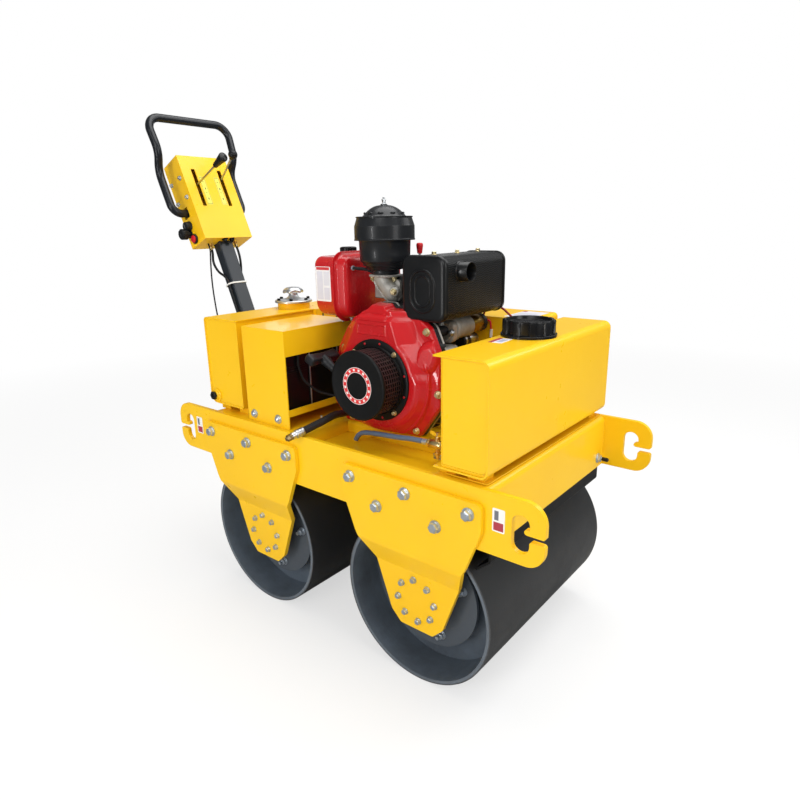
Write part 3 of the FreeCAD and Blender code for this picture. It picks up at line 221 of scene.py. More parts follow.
def drumFinish(name, colour, pale, rimHighlight, slate):  # rolled skin outside, slate paint inside, a painted highlight along the rim edges
    f = Finish(name)
    x, y, z = f.axes()
    away, up = abs(x) - drumLook["axleX"], z - drumLook["axleZ"]
    outside = (away * away + up * up) ** 0.5 > drumLook["rolled"]
    streaks = f.noise(60.0, 4.0, 0.6, (0.5, 6.0, 0.5))
    patches = f.band(f.noise(5.0, 6.0, 0.65), 0.42, 0.75)
    rim = f.band(abs(y), *drumLook["rim"])
    flecks = f.band(f.noise(90.0, 4.0, 0.7), 0.56, 0.72)
    body = f.mix(patches * 0.55 + streaks * 0.2, f.mix(outside, slate, colour), pale)
    # the rim edges are mixed towards a lighter colour: a painted edge highlight, broken up by noise
    body = f.mix(rim * (0.35 + flecks * 0.65) * 0.7, body, rimHighlight)
    normal = f.bump(streaks, 0.0003, 0.5, f.rounded(0.001))
    normal = f.bump(f.noise(300.0, 3.0), 0.00012, 0.5, normal)
    return f.close(body, 0.36 + patches * 0.14 + flecks * 0.06, normal, 0.1, Coat_Weight=0.12, Coat_Roughness=0.25)


wrapLook = {"rows": 185.0, "pockets": 105.0, "depth": 0.0007}  # both per metre


def wrapFinish(name, colour, pale):  # pressed mesh round the muffler's body, its rows a little uneven; crests painted paler and hollows darker as painted highlight and painted shade
    f = Finish(name)
    x, y, z = f.axes()
    wobble = (y * 390.0 + z * 60.0).sin() * 0.0012 + (y * 143.0 - z * 35.0).sin() * 0.0011
    rows = (z - x + wobble) * wrapLook["rows"]
    shift = (rows.calc("FLOOR", rows) * 0.5).fraction()
    crest = 0.5 + 0.5 * (rows * (2 * math.pi)).sin()
    pocket = 0.5 + 0.5 * ((y * wrapLook["pockets"] + shift) * (2 * math.pi)).sin()
    ridge = crest * (0.78 + pocket * 0.22)
    # colour follows the relief: the paler crests are a painted highlight, the darker hollows painted shade
    body = f.mix(ridge * 0.85 + f.noise(20.0) * 0.15, colour, pale)
    normal = f.bump(ridge, wrapLook["depth"], 0.7, f.rounded(0.001))
    return f.close(body, 0.42 - ridge * 0.1, normal, Specular_IOR_Level=0.25)


def ringFinish(name, red, white, radii, centre, count, edge=0.0013):  # plain red ring with white blocks and edges
    f = Finish(name)
    x, y, z = f.axes()
    away, up = x - centre[0], z - centre[1]
    reach = (away * away + up * up) ** 0.5
    turn = (up.calc("ARCTAN2", up, away) / (2 * math.pi) + 0.5) * count
    midway = (radii[0] + radii[1]) / 2
    inBlock = (abs(turn.fraction() - 0.5) < 0.2) * (abs(reach - midway) < (radii[1] - radii[0]) * 0.22)
    outer = (reach > radii[1] - edge).over(reach < radii[0] + edge)
    colour = f.mix(inBlock.over(outer), red, white)
    return f.close(f.mix(f.noise(90.0) * 0.15, colour, tone("7d6a64")), 0.38 + f.noise(40.0) * 0.1)


def printFinish(name, ground, zones):  # blank sign with fields of (low u, low v, high u, high v, colour)
    f = Finish(name)
    u, v = f.uv()
    colour = ground
    for lowU, lowV, highU, highV, ink in zones:
        inside = (u > lowU) * (u < highU) * (v > lowV) * (v < highV)
        colour = f.mix(inside, colour, ink)
    return f.close(f.mix(f.noise(70.0) * 0.12, colour, tone("9a9690")), 0.3 + f.noise(30.0) * 0.14, Coat_Weight=0.2)


def hoseFinish(name, colour, pale, rough, pitch, depth):  # fine wrap marks along the tube, on its own UV
    f = Finish(name)
    u, v = f.uv()
    marks = ((u * pitch + v * 4.0) * (2 * math.pi)).sin() * ((u * pitch - v * 4.0) * (2 * math.pi)).sin()
    grain = f.noise(400.0)
    normal = f.bump(marks * 0.5 + grain * 0.5, depth)
    return f.close(f.mix(f.noise(24.0, 4.0) * 0.7, colour, pale), rough + grain * 0.1, normal)


yellow = enamel("goldenYellowEnamel", tone("F8C614"), tone("F1B60C"), 0.24, 0.22, 0.0016, 0.00004, 0.3)
red = enamel("engineRedEnamel", tone("C8141B"), tone("A80F15"), 0.2, 0.35, 0.0014, 0.00003, 0.35)
satinBlack = enamel("satinBlackEnamel", tone("0D0E0F"), tone("0A0B0C"), 0.36, 0.02, 0.001, 0.00005, 0.22, 0)
cageBlack = enamel("cageBlack", tone("3C2C2C"), tone("271D1D"), 0.36, 0.0, 0.0006, 0.00003, 0.4, 0)
cleanerBlack = enamel("cleanerBlack", tone("1A1C1F"), tone("15171A"), 0.3, 0.1, 0.0008, 0.00003, 0.3, 0)
mufflerBlack = enamel("mufflerBlack", tone("0B0D10"), tone("08090B"), 0.28, 0.1, 0.0008, 0.00003, 0.35, 0)
columnPaint = enamel("columnBlueGrey", tone("262C33"), tone("1E242B"), 0.26, 0.2, 0.0016, 0.00004, 0.3, 0.0001)
barPaint = enamel("handlebarBlack", tone("13171D"), tone("0E1217"), 0.24, 0.15, 0.001, 0.00004, 0.35, 0)
# the third colour of each drum finish is the painted highlight on its rim edges
drumSkin = drumFinish("drumCharcoal", tone("2F3031"), tone("292A2B"), tone("777B7F"), tone("66717D"))
drumInside = drumFinish("drumSlate", tone("565E67"), tone("4A5159"), tone("8C9094"), tone("50575F"))
zinc = metalFinish("zincPlate", tone("DEE7F0"), tone("BDC9D6"), 0.25, 500.0, 0.0001, 0.87)
yellowZinc = metalFinish("yellowZinc", tone("F2E4B6"), tone("CDB985"), 0.3, 500.0, 0.0001)
brass = metalFinish("valveBrass", tone("F0DA9A"), tone("CDB072"), 0.22, 420.0, 0.0001)
bronze = metalFinish("bronze", tone("9A8762"), tone("6F6045"), 0.26, 420.0, 0.0001)
darkAlloy = metalFinish("darkAlloy", tone("C2BBB0"), tone("908A80"), 0.42, 260.0, 0.0004, 0.6)
knobSilver = metalFinish("knobSilver", tone("ECEEF0"), tone("D2D5D8"), 0.3, 260.0, 0.00002)
steel = metalFinish("drawnSteel", tone("CFD2D4"), tone("AAAEB1"), 0.22, 700.0, 0.00006)
castAlloy = metalFinish("castAlloy", tone("BDBBB4"), tone("928F88"), 0.44, 260.0, 0.0005, 0.5)
darkCasting = metalFinish("darkCasting", tone("1C1D1E"), tone("121314"), 0.5, 240.0, 0.0005, 0.1)
goldCan = metalFinish("goldPlated", tone("BE9C4A"), tone("957430"), 0.22, 500.0, 0.00008)
rubber = softFinish("blackRubber", tone("17181A"), tone("222325"), 0.58, 260.0, 0.0002)
plastic = softFinish("blackPlastic", tone("17191B"), tone("232629"), 0.36, 520.0, 0.0002)
capPlastic = softFinish("capPlastic", tone("101113"), tone("1C1E21"), 0.24, 600.0, 0.0001, 0.0007)
batteryCase = softFinish("batteryCase", tone("090A0B"), tone("121315"), 0.3, 300.0, 0.0001)
nylon = softFinish("whiteNylon", tone("E8E8E4"), tone("D8D8D2"), 0.4, 300.0, 0.0001)
redPlastic = softFinish("redPlastic", tone("C81E24"), tone("A8141A"), 0.3, 300.0, 0.0001)
# near-black matte for the walls inside the lever slots: painted shade
slotShadeFinish = softFinish("slotShadeFinish", tone("0B0B0C"), tone("161617"), 0.7, 200.0, 0.0001)
# the paler second colour is the painted highlight on the wrap's crests, the first the painted shade in its hollows
meshWrap = wrapFinish("pressedMesh", tone("040405"), tone("232527"))
slateHose = hoseFinish("slateHose", tone("53647F"), tone("6E8099"), 0.34, 10.0, 0.0001)
blackHose = hoseFinish("braidedHose", tone("161718"), tone("252628"), 0.5, 320.0, 0.0003)
print("finishes made")

# making meshes
mm = 0.001


def keep(name, mesh, material=None, sharp=35, body="chassis"):  # sharp: edge angle in degrees, 0 for flat
    mesh.name = name
    if material:
        mesh.materials.clear()
        mesh.materials.append(material)
    if sharp:
        mesh.shade_smooth()
        mesh.set_sharp_from_angle(angle=math.radians(sharp))
    piece = bpy.data.objects.new(name, mesh)
    scene.collection.objects.link(piece)
    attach(piece, body)
    return piece


def meshed(build, matrix=None):  # build fills an empty bmesh; doubles are merged and faces point outwards
    work = bmesh.new()
    build(work)
    bmesh.ops.remove_doubles(work, verts=work.verts, dist=1e-6)
    bmesh.ops.recalc_face_normals(work, faces=work.faces)
    if matrix:
        bmesh.ops.transform(work, matrix=matrix, verts=work.verts)
    mesh = bpy.data.meshes.new("mesh")
    work.to_mesh(mesh)
    work.free()
    return mesh


def bridge(work, rows, closed=True):
    for first, second in zip(rows, rows[1:]):
        count = len(first)
        for k in range(count if closed else count - 1):
            n = (k + 1) % count
            work.faces.new((first[k], first[n], second[n], second[k]))


def skin(work, rows):  # loops of vertices to a closed body
    bridge(work, rows)
    work.faces.new(rows[0])
    work.faces.new(rows[-1])


def circle(radius, angle):  # degrees
    return radius * math.cos(math.radians(angle)), radius * math.sin(math.radians(angle))


def middle(node):
    low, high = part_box(node)
    return (low + high) / 2


def spun(profile, matrix, steps=72, capEnds=True):  # profile of (radius, height) about local Z
    def build(work):
        rows = [[work.verts.new((max(r, 1e-5) * math.cos(2 * math.pi * k / steps),
                                 max(r, 1e-5) * math.sin(2 * math.pi * k / steps), h))
                 for k in range(steps)] for r, h in profile]
        (skin if capEnds else bridge)(work, rows)
    return meshed(build, matrix)


def facing(place, direction, spin=0.0):  # local Z along the direction
    turn = Vector(direction).to_track_quat("Z", "Y").to_matrix().to_4x4()
    return Matrix.Translation(place) @ turn @ Matrix.Rotation(spin, 4, "Z")


def roundedLoop(lowU, highU, lowV, highV, radii, steps=8):  # corners: low low, high low, high high, low high
    corners = ((lowU, lowV, 180), (highU, lowV, 270), (highU, highV, 0), (lowU, highV, 90))
    points = []
    for (u, v, start), radius in zip(corners, radii):
        cu = u + radius if u == lowU else u - radius
        cv = v + radius if v == lowV else v - radius
        for k in range(steps + 1):
            angle = math.radians(start + 90 * k / steps)
            points.append((cu + radius * math.cos(angle), cv + radius * math.sin(angle)))
    return points


def lofted(box, radii, stations, axis, steps=8):  # one rounded outline at stations of (place on the axis, inset)
    lowU, highU, lowV, highV = box
    order = {"x": (2, 0, 1), "y": (0, 2, 1), "z": (0, 1, 2)}[axis]  # which of u, v and along goes to x, y and z

    def build(work):
        rows = []
        for along, inset in stations:
            shrunk = [max(r - inset, 0.0005) for r in radii]
            loop = roundedLoop(lowU + inset, highU - inset, lowV + inset, highV - inset, shrunk, steps)
            rows.append([work.verts.new([(u, v, along)[k] for k in order]) for u, v in loop])
        skin(work, rows)
    return meshed(build)


def bent(points, radii, steps=8):  # a line with round corners, for rigid tubes and rods
    line = []
    for k, (point, radius) in enumerate(zip(points, radii)):
        point = Vector(point)
        if not radius or k in (0, len(points) - 1):
            line.append(point)
            continue
        back = (Vector(points[k - 1]) - point).normalized()
        ahead = (Vector(points[k + 1]) - point).normalized()
        half = back.angle(ahead) / 2
        centre = point + (back + ahead).normalized() * radius / math.sin(half)
        start = point + back * radius / math.tan(half)
        end = point + ahead * radius / math.tan(half)
        sweep = (start - centre).angle(end - centre)
        axis = (start - centre).cross(end - centre).normalized()
        line += [centre + Matrix.Rotation(sweep * s / steps, 3, axis) @ (start - centre) for s in range(steps + 1)]
    return line


def tube(line, radius, sides=16, closed=False):
    def build(work):
        rows, side = [], None
        for k, point in enumerate(line):
            before = line[k - 1] if k or closed else line[k]
            after = line[(k + 1) % len(line)] if k < len(line) - 1 or closed else line[k]
            along = (Vector(after) - Vector(before)).normalized()
            if side is None:
                side = along.orthogonal().normalized()
            side = (side - along * side.dot(along)).normalized()
            up = along.cross(side)
            rows.append([work.verts.new(Vector(point) + side * radius * math.cos(2 * math.pi * s / sides)
                                        + up * radius * math.sin(2 * math.pi * s / sides))
                         for s in range(sides)])
        if closed:
            bridge(work, rows + rows[:1])
        else:
            skin(work, rows)
    return meshed(build)


def joined(meshes):
    work = bmesh.new()
    for mesh in meshes:
        work.from_mesh(mesh)
    result = bpy.data.meshes.new("mesh")
    work.to_mesh(result)
    work.free()
    return result


def sheetOn(name, corner, across, up, size, radius, material, body="chassis"):  # thin blank sign
    lift = 0.0004
    across, up = Vector(across).normalized(), Vector(up).normalized()
    out = across.cross(up)
    loop = roundedLoop(0, size[0], 0, size[1], [radius] * 4, 4)

    def build(work):
        uvLayer = work.loops.layers.uv.new("UVMap")
        top = [work.verts.new(Vector(corner) + across * u + up * v + out * lift) for u, v in loop]
        under = [work.verts.new(Vector(corner) + across * u + up * v) for u, v in loop]
        work.faces.new(top)
        work.faces.new(under[::-1])
        bridge(work, [top, under])
        for face in work.faces:
            for corners in face.loops:
                offset = corners.vert.co - Vector(corner)
                corners[uvLayer].uv = (offset.dot(across) / size[0], offset.dot(up) / size[1])
    return keep(name, meshed(build), material, body=body)


# node trees for what repeats
def startTree(name, sockets):
    tree = bpy.data.node_groups.new(name, "GeometryNodeTree")
    tree.interface.new_socket("Base", in_out="INPUT", socket_type="NodeSocketGeometry")
    for title, kind, value in sockets:
        item = tree.interface.new_socket(title, in_out="INPUT", socket_type="NodeSocket" + kind)
        if value is not None:
            item.default_value = value
    tree.interface.new_socket("Made", in_out="OUTPUT", socket_type="NodeSocketGeometry")
    graph = Graph(tree)
    entry = tree.nodes.new("NodeGroupInput")
    return graph, {out.name: Wire(graph, out) for out in entry.outputs if out.name}


def endTree(graph, geometry, material):
    real = graph.add("GeometryNodeRealizeInstances", {}, {0: geometry})
    painted = graph.add("GeometryNodeSetMaterial", {}, {"Geometry": real, "Material": material})
    graph.add("NodeGroupOutput", {}, {0: painted})
    return graph.tree


def joinAll(graph, parts):
    node = graph.tree.nodes.new("GeometryNodeJoinGeometry")
    for part in parts:
        graph.tree.links.new(part.socket, node.inputs[0])
    return Wire(graph, node.outputs[0])


def vector(graph, x=0.0, y=0.0, z=0.0):
    return graph.add("ShaderNodeCombineXYZ", {}, {0: x, 1: y, 2: z})


def moved(graph, geometry, **sockets):
    return graph.add("GeometryNodeTransform", {}, {"Geometry": geometry, **sockets})


def lifted(graph, geometry, z):
    return moved(graph, geometry, Translation=vector(graph, z=z))


def scattered(graph, mesh, piece, **more):  # a copy of the piece on each vertex
    points = graph.add("GeometryNodeMeshToPoints", {}, {"Mesh": mesh})
    return graph.add("GeometryNodeInstanceOnPoints", {}, {"Points": points, "Instance": piece, **more})


def fastenerTree():
    graph, get = startTree("fasteners", [
        ("Across Flats", "Float", 0.02), ("Head Height", "Float", 0.01), ("Washer Radius", "Float", 0.014),
        ("Washer Thickness", "Float", 0.002), ("Stud Radius", "Float", 0.004), ("Stud Length", "Float", 0.0),
        ("Dome", "Bool", False), ("Seed", "Int", 3), ("Material", "Material", None)])
    corner = get["Across Flats"] / math.sqrt(3)
    thick = get["Washer Thickness"]
    height = get["Head Height"]
    washer = graph.add("GeometryNodeMeshCylinder", {}, {"Vertices": 24, "Radius": get["Washer Radius"],
                                                        "Depth": thick})
    collar = graph.add("GeometryNodeMeshCone", {}, {"Vertices": 24, "Radius Bottom": get["Washer Radius"] * 0.88,
                                                    "Radius Top": corner * 1.02, "Depth": height * 0.2})
    head = graph.add("GeometryNodeMeshCylinder", {}, {"Vertices": 6, "Radius": corner, "Depth": height * 0.84})
    crown = graph.add("GeometryNodeMeshCone", {}, {"Vertices": 6, "Radius Bottom": corner,
                                                   "Radius Top": corner * 0.78, "Depth": height * 0.16})
    stud = graph.add("GeometryNodeMeshCylinder", {}, {"Vertices": 12, "Radius": get["Stud Radius"],
                                                      "Depth": get["Stud Length"] + 0.001})
    hexed = joinAll(graph, [lifted(graph, collar, thick), lifted(graph, head, thick + height * 0.42),
                            lifted(graph, crown, thick + height * 0.84)])
    ball = graph.add("GeometryNodeMeshUVSphere", {}, {"Segments": 20, "Rings": 10,
                                                      "Radius": get["Washer Radius"] * 0.86})
    squashed = moved(graph, ball, Translation=vector(graph, z=thick),
                     Scale=vector(graph, 1.0, 1.0, height / (get["Washer Radius"] * 0.86)))
    squashed = graph.add("GeometryNodeSetShadeSmooth", {}, {0: squashed})
    top = graph.add("GeometryNodeSwitch", {"input_type": "GEOMETRY"}, {"Switch": get["Dome"], "False": hexed,
                                                                       "True": squashed})
    stud = lifted(graph, stud, thick + height + get["Stud Length"] / 2 - 0.0005)
    whole = joinAll(graph, [lifted(graph, washer, thick / 2), top, stud])
    aim = graph.add("GeometryNodeInputNamedAttribute", {"data_type": "FLOAT_VECTOR"}, {"Name": "aim"})
    toward = graph.add("FunctionNodeAlignRotationToVector", {"axis": "Z"}, {"Vector": aim})
    chance = graph.add("FunctionNodeRandomValue", {"data_type": "FLOAT"}, {"Seed": get["Seed"]}, 1)
    own = graph.add("FunctionNodeEulerToRotation", {}, {0: vector(graph, z=chance * math.pi)})
    turned = graph.add("FunctionNodeRotateRotation", {"rotation_space": "LOCAL"}, {0: toward, 1: own})
    placed = scattered(graph, get["Base"], whole, Rotation=turned)
    return endTree(graph, placed, get["Material"])


def cageTree():  # bars round local Z and rings across them
    graph, get = startTree("cage", [
        ("Radius", "Float", 0.08), ("Length", "Float", 0.06), ("Bars", "Int", 48), ("Bar Width", "Float", 0.003),
        ("Bar Depth", "Float", 0.002), ("Rings", "Int", 6), ("Ring Height", "Float", 0.003),
        ("Material", "Material", None)])
    posts = graph.add("GeometryNodeMeshCircle", {}, {"Vertices": get["Bars"], "Radius": get["Radius"]})
    outward = graph.add("FunctionNodeAlignRotationToVector", {"axis": "X"},
                        {"Vector": graph.add("GeometryNodeInputPosition")})
    bar = graph.add("GeometryNodeMeshCube", {}, {"Size": vector(graph, get["Bar Depth"], get["Bar Width"],
                                                                get["Length"])})
    bars = scattered(graph, posts, bar, Rotation=outward)
    loop = graph.add("GeometryNodeCurvePrimitiveCircle", {}, {"Resolution": 72, "Radius": get["Radius"]})
    section = graph.add("GeometryNodeCurvePrimitiveQuadrilateral", {}, {"Width": get["Bar Depth"] * 1.1,
                                                                        "Height": get["Ring Height"]})
    ring = graph.add("GeometryNodeCurveToMesh", {}, {"Curve": loop, "Profile Curve": section})
    step = (get["Length"] - get["Ring Height"]) / (get["Rings"] - 1)
    stack = graph.add("GeometryNodeMeshLine", {}, {
        "Count": get["Rings"], "Start Location": vector(graph, z=(get["Ring Height"] - get["Length"]) / 2),
        "Offset": vector(graph, z=step)})
    rings = scattered(graph, stack, ring)
    return endTree(graph, joinAll(graph, [bars, rings]), get["Material"])


def beadTree():  # overlapping weld ripples along the base edges
    graph, get = startTree("weldBead", [
        ("Radius", "Float", 0.003), ("Pitch", "Float", 0.003), ("Seed", "Int", 5), ("Material", "Material", None)])
    line = graph.add("GeometryNodeMeshToCurve", {}, {0: get["Base"]})
    points = graph.add("GeometryNodeCurveToPoints", {"mode": "LENGTH"}, {"Curve": line, "Length": get["Pitch"]})
    blob = graph.add("GeometryNodeMeshIcoSphere", {}, {"Radius": get["Radius"], "Subdivisions": 2})
    size = graph.add("FunctionNodeRandomValue", {"data_type": "FLOAT_VECTOR"},
                     {0: (0.8, 0.8, 0.7), 1: (1.15, 1.15, 1.05), "Seed": get["Seed"]})
    placed = graph.add("GeometryNodeInstanceOnPoints", {}, {"Points": points, "Instance": blob, "Scale": size})
    return endTree(graph, graph.add("GeometryNodeSetShadeSmooth", {}, {0: placed}), get["Material"])


def finTree():  # a stack of plates with round corners, along local Z
    graph, get = startTree("fins", [
        ("Width", "Float", 0.11), ("Depth", "Float", 0.13), ("Corner", "Float", 0.012),
        ("Thickness", "Float", 0.0022), ("Count", "Int", 8), ("Pitch", "Float", 0.011),
        ("Material", "Material", None)])
    outline = graph.add("GeometryNodeCurvePrimitiveQuadrilateral", {},
                        {"Width": get["Width"], "Height": get["Depth"]})
    outline = graph.add("GeometryNodeFilletCurve", {"mode": "POLY"},
                        {"Curve": outline, "Count": 5, "Radius": get["Corner"]})
    plate = graph.add("GeometryNodeFillCurve", {"mode": "NGONS"}, {"Curve": outline})
    fin = graph.add("GeometryNodeExtrudeMesh", {}, {"Mesh": plate, "Offset": vector(graph, z=1.0),
                                                    "Offset Scale": get["Thickness"]})
    fin = joinAll(graph, [fin, graph.add("GeometryNodeFlipFaces", {}, {0: plate})])
    stack = graph.add("GeometryNodeMeshLine", {}, {"Count": get["Count"], "Offset": vector(graph, z=get["Pitch"])})
    return endTree(graph, scattered(graph, stack, fin), get["Material"])


trees = {"fasteners": fastenerTree(), "cage": cageTree(), "beads": beadTree(), "fins": finTree()}


def grown(tree, values, base=None, matrix=None):  # runs a tree and keeps its result as a plain mesh
    piece = bpy.data.objects.new(tree, base or bpy.data.meshes.new(tree))
    scene.collection.objects.link(piece)
    modifier = piece.modifiers.new("grow", "NODES")
    modifier.node_group = trees[tree]
    for item in trees[tree].interface.items_tree:
        if item.in_out == "INPUT" and item.name in values:
            modifier[item.identifier] = values[item.name]
    bpy.context.view_layer.update()
    mesh = bpy.data.meshes.new_from_object(piece.evaluated_get(bpy.context.evaluated_depsgraph_get()))
    piece.modifiers.clear()
    bpy.data.objects.remove(piece)
    if matrix:
        mesh.transform(matrix)
    return mesh


boltInputs = ("Across Flats", "Head Height", "Washer Radius", "Washer Thickness", "Stud Radius", "Stud Length")
boltSizes = {  # millimetres, in the order of boltInputs; a negative stud ends inside its head
    "bracketBolts": (21, 12.5, 14.8, 2.8, 5, -2),
    "hubBolts": (12.5, 7.5, 8.5, 1.8, 3, -2),
    "discNuts": (17, 10, 12.5, 2.4, 5, 9),
    "frontStud": (17, 9, 14, 2, 4.5, 3),
    "fillerScrews": (9, 6, 5.6, 1, 2, -1),
    "housingBolts": (12.5, 7.5, 9.8, 1.6, 3, -2),
    "starterRivets": (20, 1.6, 3.3, 0.3, 1, -1.5),
    "starterBolts": (10, 6, 7.2, 1.4, 2.5, -1),
    "tankStraps": (11, 7.5, 8, 1.5, 3.2, 6),
    "elbowBolts": (12, 7.5, 8.5, 1.5, 3, 3),
    "headNuts": (14, 9, 10, 2, 4.2, 7),
    "mufflerStraps": (10, 6.5, 7.8, 1.4, 2.6, -1),
    "starterMountBolts": (12.5, 9, 8.5, 1.4, 3, 3),
    "starterTerminals": (9, 5, 6, 1, 2.4, 4),
    "boxDomes": (20, 8.5, 12.5, 2, 2, -4),
    "lipBolts": (10, 6.5, 7.5, 1.5, 3, 8),
    "valveHexes": (18.5, 7.2, 10.4, 1, 6.8, -1),
    "hosePlug": (15.5, 10.5, 8.5, 4.2, 6, 2.5),
    "panelBolts": (9.5, 6, 7.8, 1.4, 2.5, -1),
    "floorBolts": (13, 8, 10, 1.6, 3, 2),
    "guardBolts": (13, 8, 10, 1.8, 3, -2),
    "foldPinNuts": (22, 10, 15, 2.5, 6, -2),
}


def fasteners(name, spots, material, kind=None, body="chassis", dome=False, seed=3):  # spots: place, aim
    base = bpy.data.meshes.new(name + "Spots")
    base.from_pydata([tuple(place) for place, aim in spots], [], [])
    layer = base.attributes.new("aim", "FLOAT_VECTOR", "POINT")
    for k, (place, aim) in enumerate(spots):
        layer.data[k].vector = aim
    values = {title: size * mm for title, size in zip(boltInputs, boltSizes[kind or name])}
    values.update({"Dome": dome, "Seed": seed, "Material": material})
    return keep(name, grown("fasteners", values, base), None, 0, body)


def weld(name, lines, material, radius, pitch):
    base = bpy.data.meshes.new(name + "Path")
    points, edges = [], []
    for line in lines:
        edges += [(len(points) + k, len(points) + k + 1) for k in range(len(line) - 1)]
        points += [tuple(p) for p in line]
    base.from_pydata(points, edges, [])
    ripples = grown("beads", {"Radius": radius, "Pitch": pitch, "Material": material}, base)
    return keep(name, ripples, None, 0)


print("tools and node trees made")

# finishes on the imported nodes
coats = {
    yellow: """side_plate_right side_plate_left rear_deck front_deck well_floor engine_bed bracket_front_right
        bracket_front_left bracket_rear_right bracket_rear_left water_tank oil_tank battery_box drive_guard
        handle_foot control_box""",
    satinBlack: "drum_hubs scraper_front scraper_rear",
    drumSkin: "drum_front_shell drum_rear_shell",
    drumInside: "drum_front_discs drum_rear_discs",
    rubber: "drum_front_buffers drum_rear_buffers oil_sight_plug",
    columnPaint: "handle_column",
    barPaint: "handlebar",
    darkCasting: "engine_block",
    batteryCase: "battery",
    nylon: "cable_tie",
    plastic: "control_cables",
    capPlastic: "water_tank_cap",
    castAlloy: "intake_elbow starter_motor",
    brass: "drain_valve",
}
for material, names in coats.items():
    for name in names.split():
        for holder in frame["nodes"][name].material_slots:
            holder.material = material

# frame: bolts on brackets and hubs, nuts inside the drums
frameBolts = {"upper": ((-0.169, 0.508), (0, 0.508), (0.169, 0.508)), "lower": ((-0.085, 0.453), (0.085, 0.453)),
              "hubCircle": 0.055, "hubTurn": 7.0, "hubCount": 8, "hubFace": 0.292}
discNuts = {"circle": 0.112, "face": 0.245, "count": 4, "turn": {"front_drum": 22.5, "rear_drum": 10.0}}
axles = {joint["child"]: Vector(joint["pos_m"]) for joint in frame["joints"] if joint["child"].endswith("_drum")}


def boltCircle(axle, radius, y, angles):  # spots round a sideways axle, facing away from the middle
    way = math.copysign(1, y)
    turned = [circle(radius, angle) for angle in angles]
    return [((axle[0] + along, y, axle[2] + rise), (0, way, 0)) for along, rise in turned]


large, small, nuts = [], [], {}
for drum, axle in axles.items():
    end, nuts[drum] = drum.split("_")[0], []
    for side, way in (("right", -1), ("left", 1)):
        low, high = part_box(f"bracket_{end}_{side}")
        outer = low.y if way < 0 else high.y
        for along, height in frameBolts["upper"] + frameBolts["lower"]:
            large.append(((axle.x + along, outer, height), (0, way, 0)))
        small += boltCircle(axle, frameBolts["hubCircle"], way * frameBolts["hubFace"],
                            [frameBolts["hubTurn"] + 360 * k / frameBolts["hubCount"]
                             for k in range(frameBolts["hubCount"])])
        nuts[drum] += boltCircle(axle, discNuts["circle"], way * discNuts["face"],
                                 [360 * k / discNuts["count"] + discNuts["turn"][drum]
                                  for k in range(discNuts["count"])])
fasteners("bracketBolts", large, zinc, seed=4)
fasteners("hubBolts", small, zinc, seed=9)
for drum, spots in nuts.items():
    fasteners(drum.split("_")[0] + "DiscNuts", spots, zinc, "discNuts", drum)

# blank signs: by the hooks, on the water tank and on the drive guard
signs = {"ink": tone("B0283A"),
         "hookSize": (0.029, 0.052), "hookHeight": 0.482, "frontInset": 0.1185, "rearInset": 0.0905,
         "waterSize": (0.034, 0.058), "waterInset": 0.022, "waterY": -0.132, "waterSkew": 0.06,
         "guardSize": (0.076, 0.122), "guardInset": 0.09, "guardY": 0.15}
lowPlate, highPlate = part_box("side_plate_right")
lowWater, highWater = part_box("water_tank")
guardLow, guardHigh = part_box("drive_guard")
hookSign = printFinish("hookSignPrint", tone("F2F0EC"), [(0.1, 0.06, 0.9, 0.42, signs["ink"]),
                                                         (0.16, 0.5, 0.5, 0.9, tone("6E7078"))])
tankSign = printFinish("tankSignPrint", tone("ECEAF0"), [(0, 0, 0.3, 1.0, signs["ink"]),
                                                         (0.42, 0.2, 0.86, 0.8, tone("B9BBD2"))])
guardSign = printFinish("guardSignPrint", tone("E9E8EE"), [(0, 0.86, 0.16, 1.0, signs["ink"]),
                                                           (0.1, 0.16, 0.82, 0.72, tone("D3D4DF"))])
for end, x in (("Front", highPlate.x - signs["frontInset"]), ("Rear", lowPlate.x + signs["rearInset"])):
    sheetOn(f"hookSign{end}", (x, lowPlate.y, signs["hookHeight"]), (1, 0, 0), (0, 0, 1), signs["hookSize"], 0.003,
            hookSign)
skew = signs["waterSkew"]
sheetOn("waterSign", (lowWater.x + signs["waterInset"], signs["waterY"], highWater.z), (1, skew, 0), (-skew, 1, 0),
        signs["waterSize"], 0.002, tankSign)
sheetOn("guardSign", (guardHigh.x - signs["guardInset"], signs["guardY"], guardHigh.z), (1, 0, 0), (0, 1, 0),
        signs["guardSize"], 0.003, guardSign)

# tanks: weld ripples along their seams, the vent hose
tankWelds = {"waterSide": 0.3067, "waterBack": 0.3705, "waterRear": 0.3698, "waterInset": 0.0045,
             "waterRise": 0.0252, "waterBend": 0.015,
             "oilSide": 0.2902, "oilFront": -0.341, "oilRear": -0.4862, "oilTop": 0.8375, "oilBottom": 0.5905,
             "oilBends": [0, 0.008, 0.022, 0]}
waterSeams, oilSeams = [], []
for way in (-1, 1):
    y, back, front = way * tankWelds["waterSide"], tankWelds["waterBack"], highWater.x - tankWelds["waterInset"]
    low, high = lowWater.z + tankWelds["waterRise"], highWater.z - tankWelds["waterInset"]
    bend = tankWelds["waterBend"]
    corners = [(back, y, low), (front, y, low), (front, y, high), (back, y, high)]
    waterSeams.append(bent(corners, [0, bend, bend, 0], 6))
    waterSeams.append([(tankWelds["waterRear"], y, low + 0.0008), (tankWelds["waterRear"], y, high - 0.0015)])
    y, front, rear = way * tankWelds["oilSide"], tankWelds["oilFront"], tankWelds["oilRear"]
    low, high = tankWelds["oilBottom"], tankWelds["oilTop"]
    corners = [(front, y, high), (rear, y, high), (rear, y, low), (front, y, low)]
    oilSeams.append(bent(corners, tankWelds["oilBends"], 6))
weld("waterTankWeld", waterSeams, yellow, 0.0019, 0.0028)
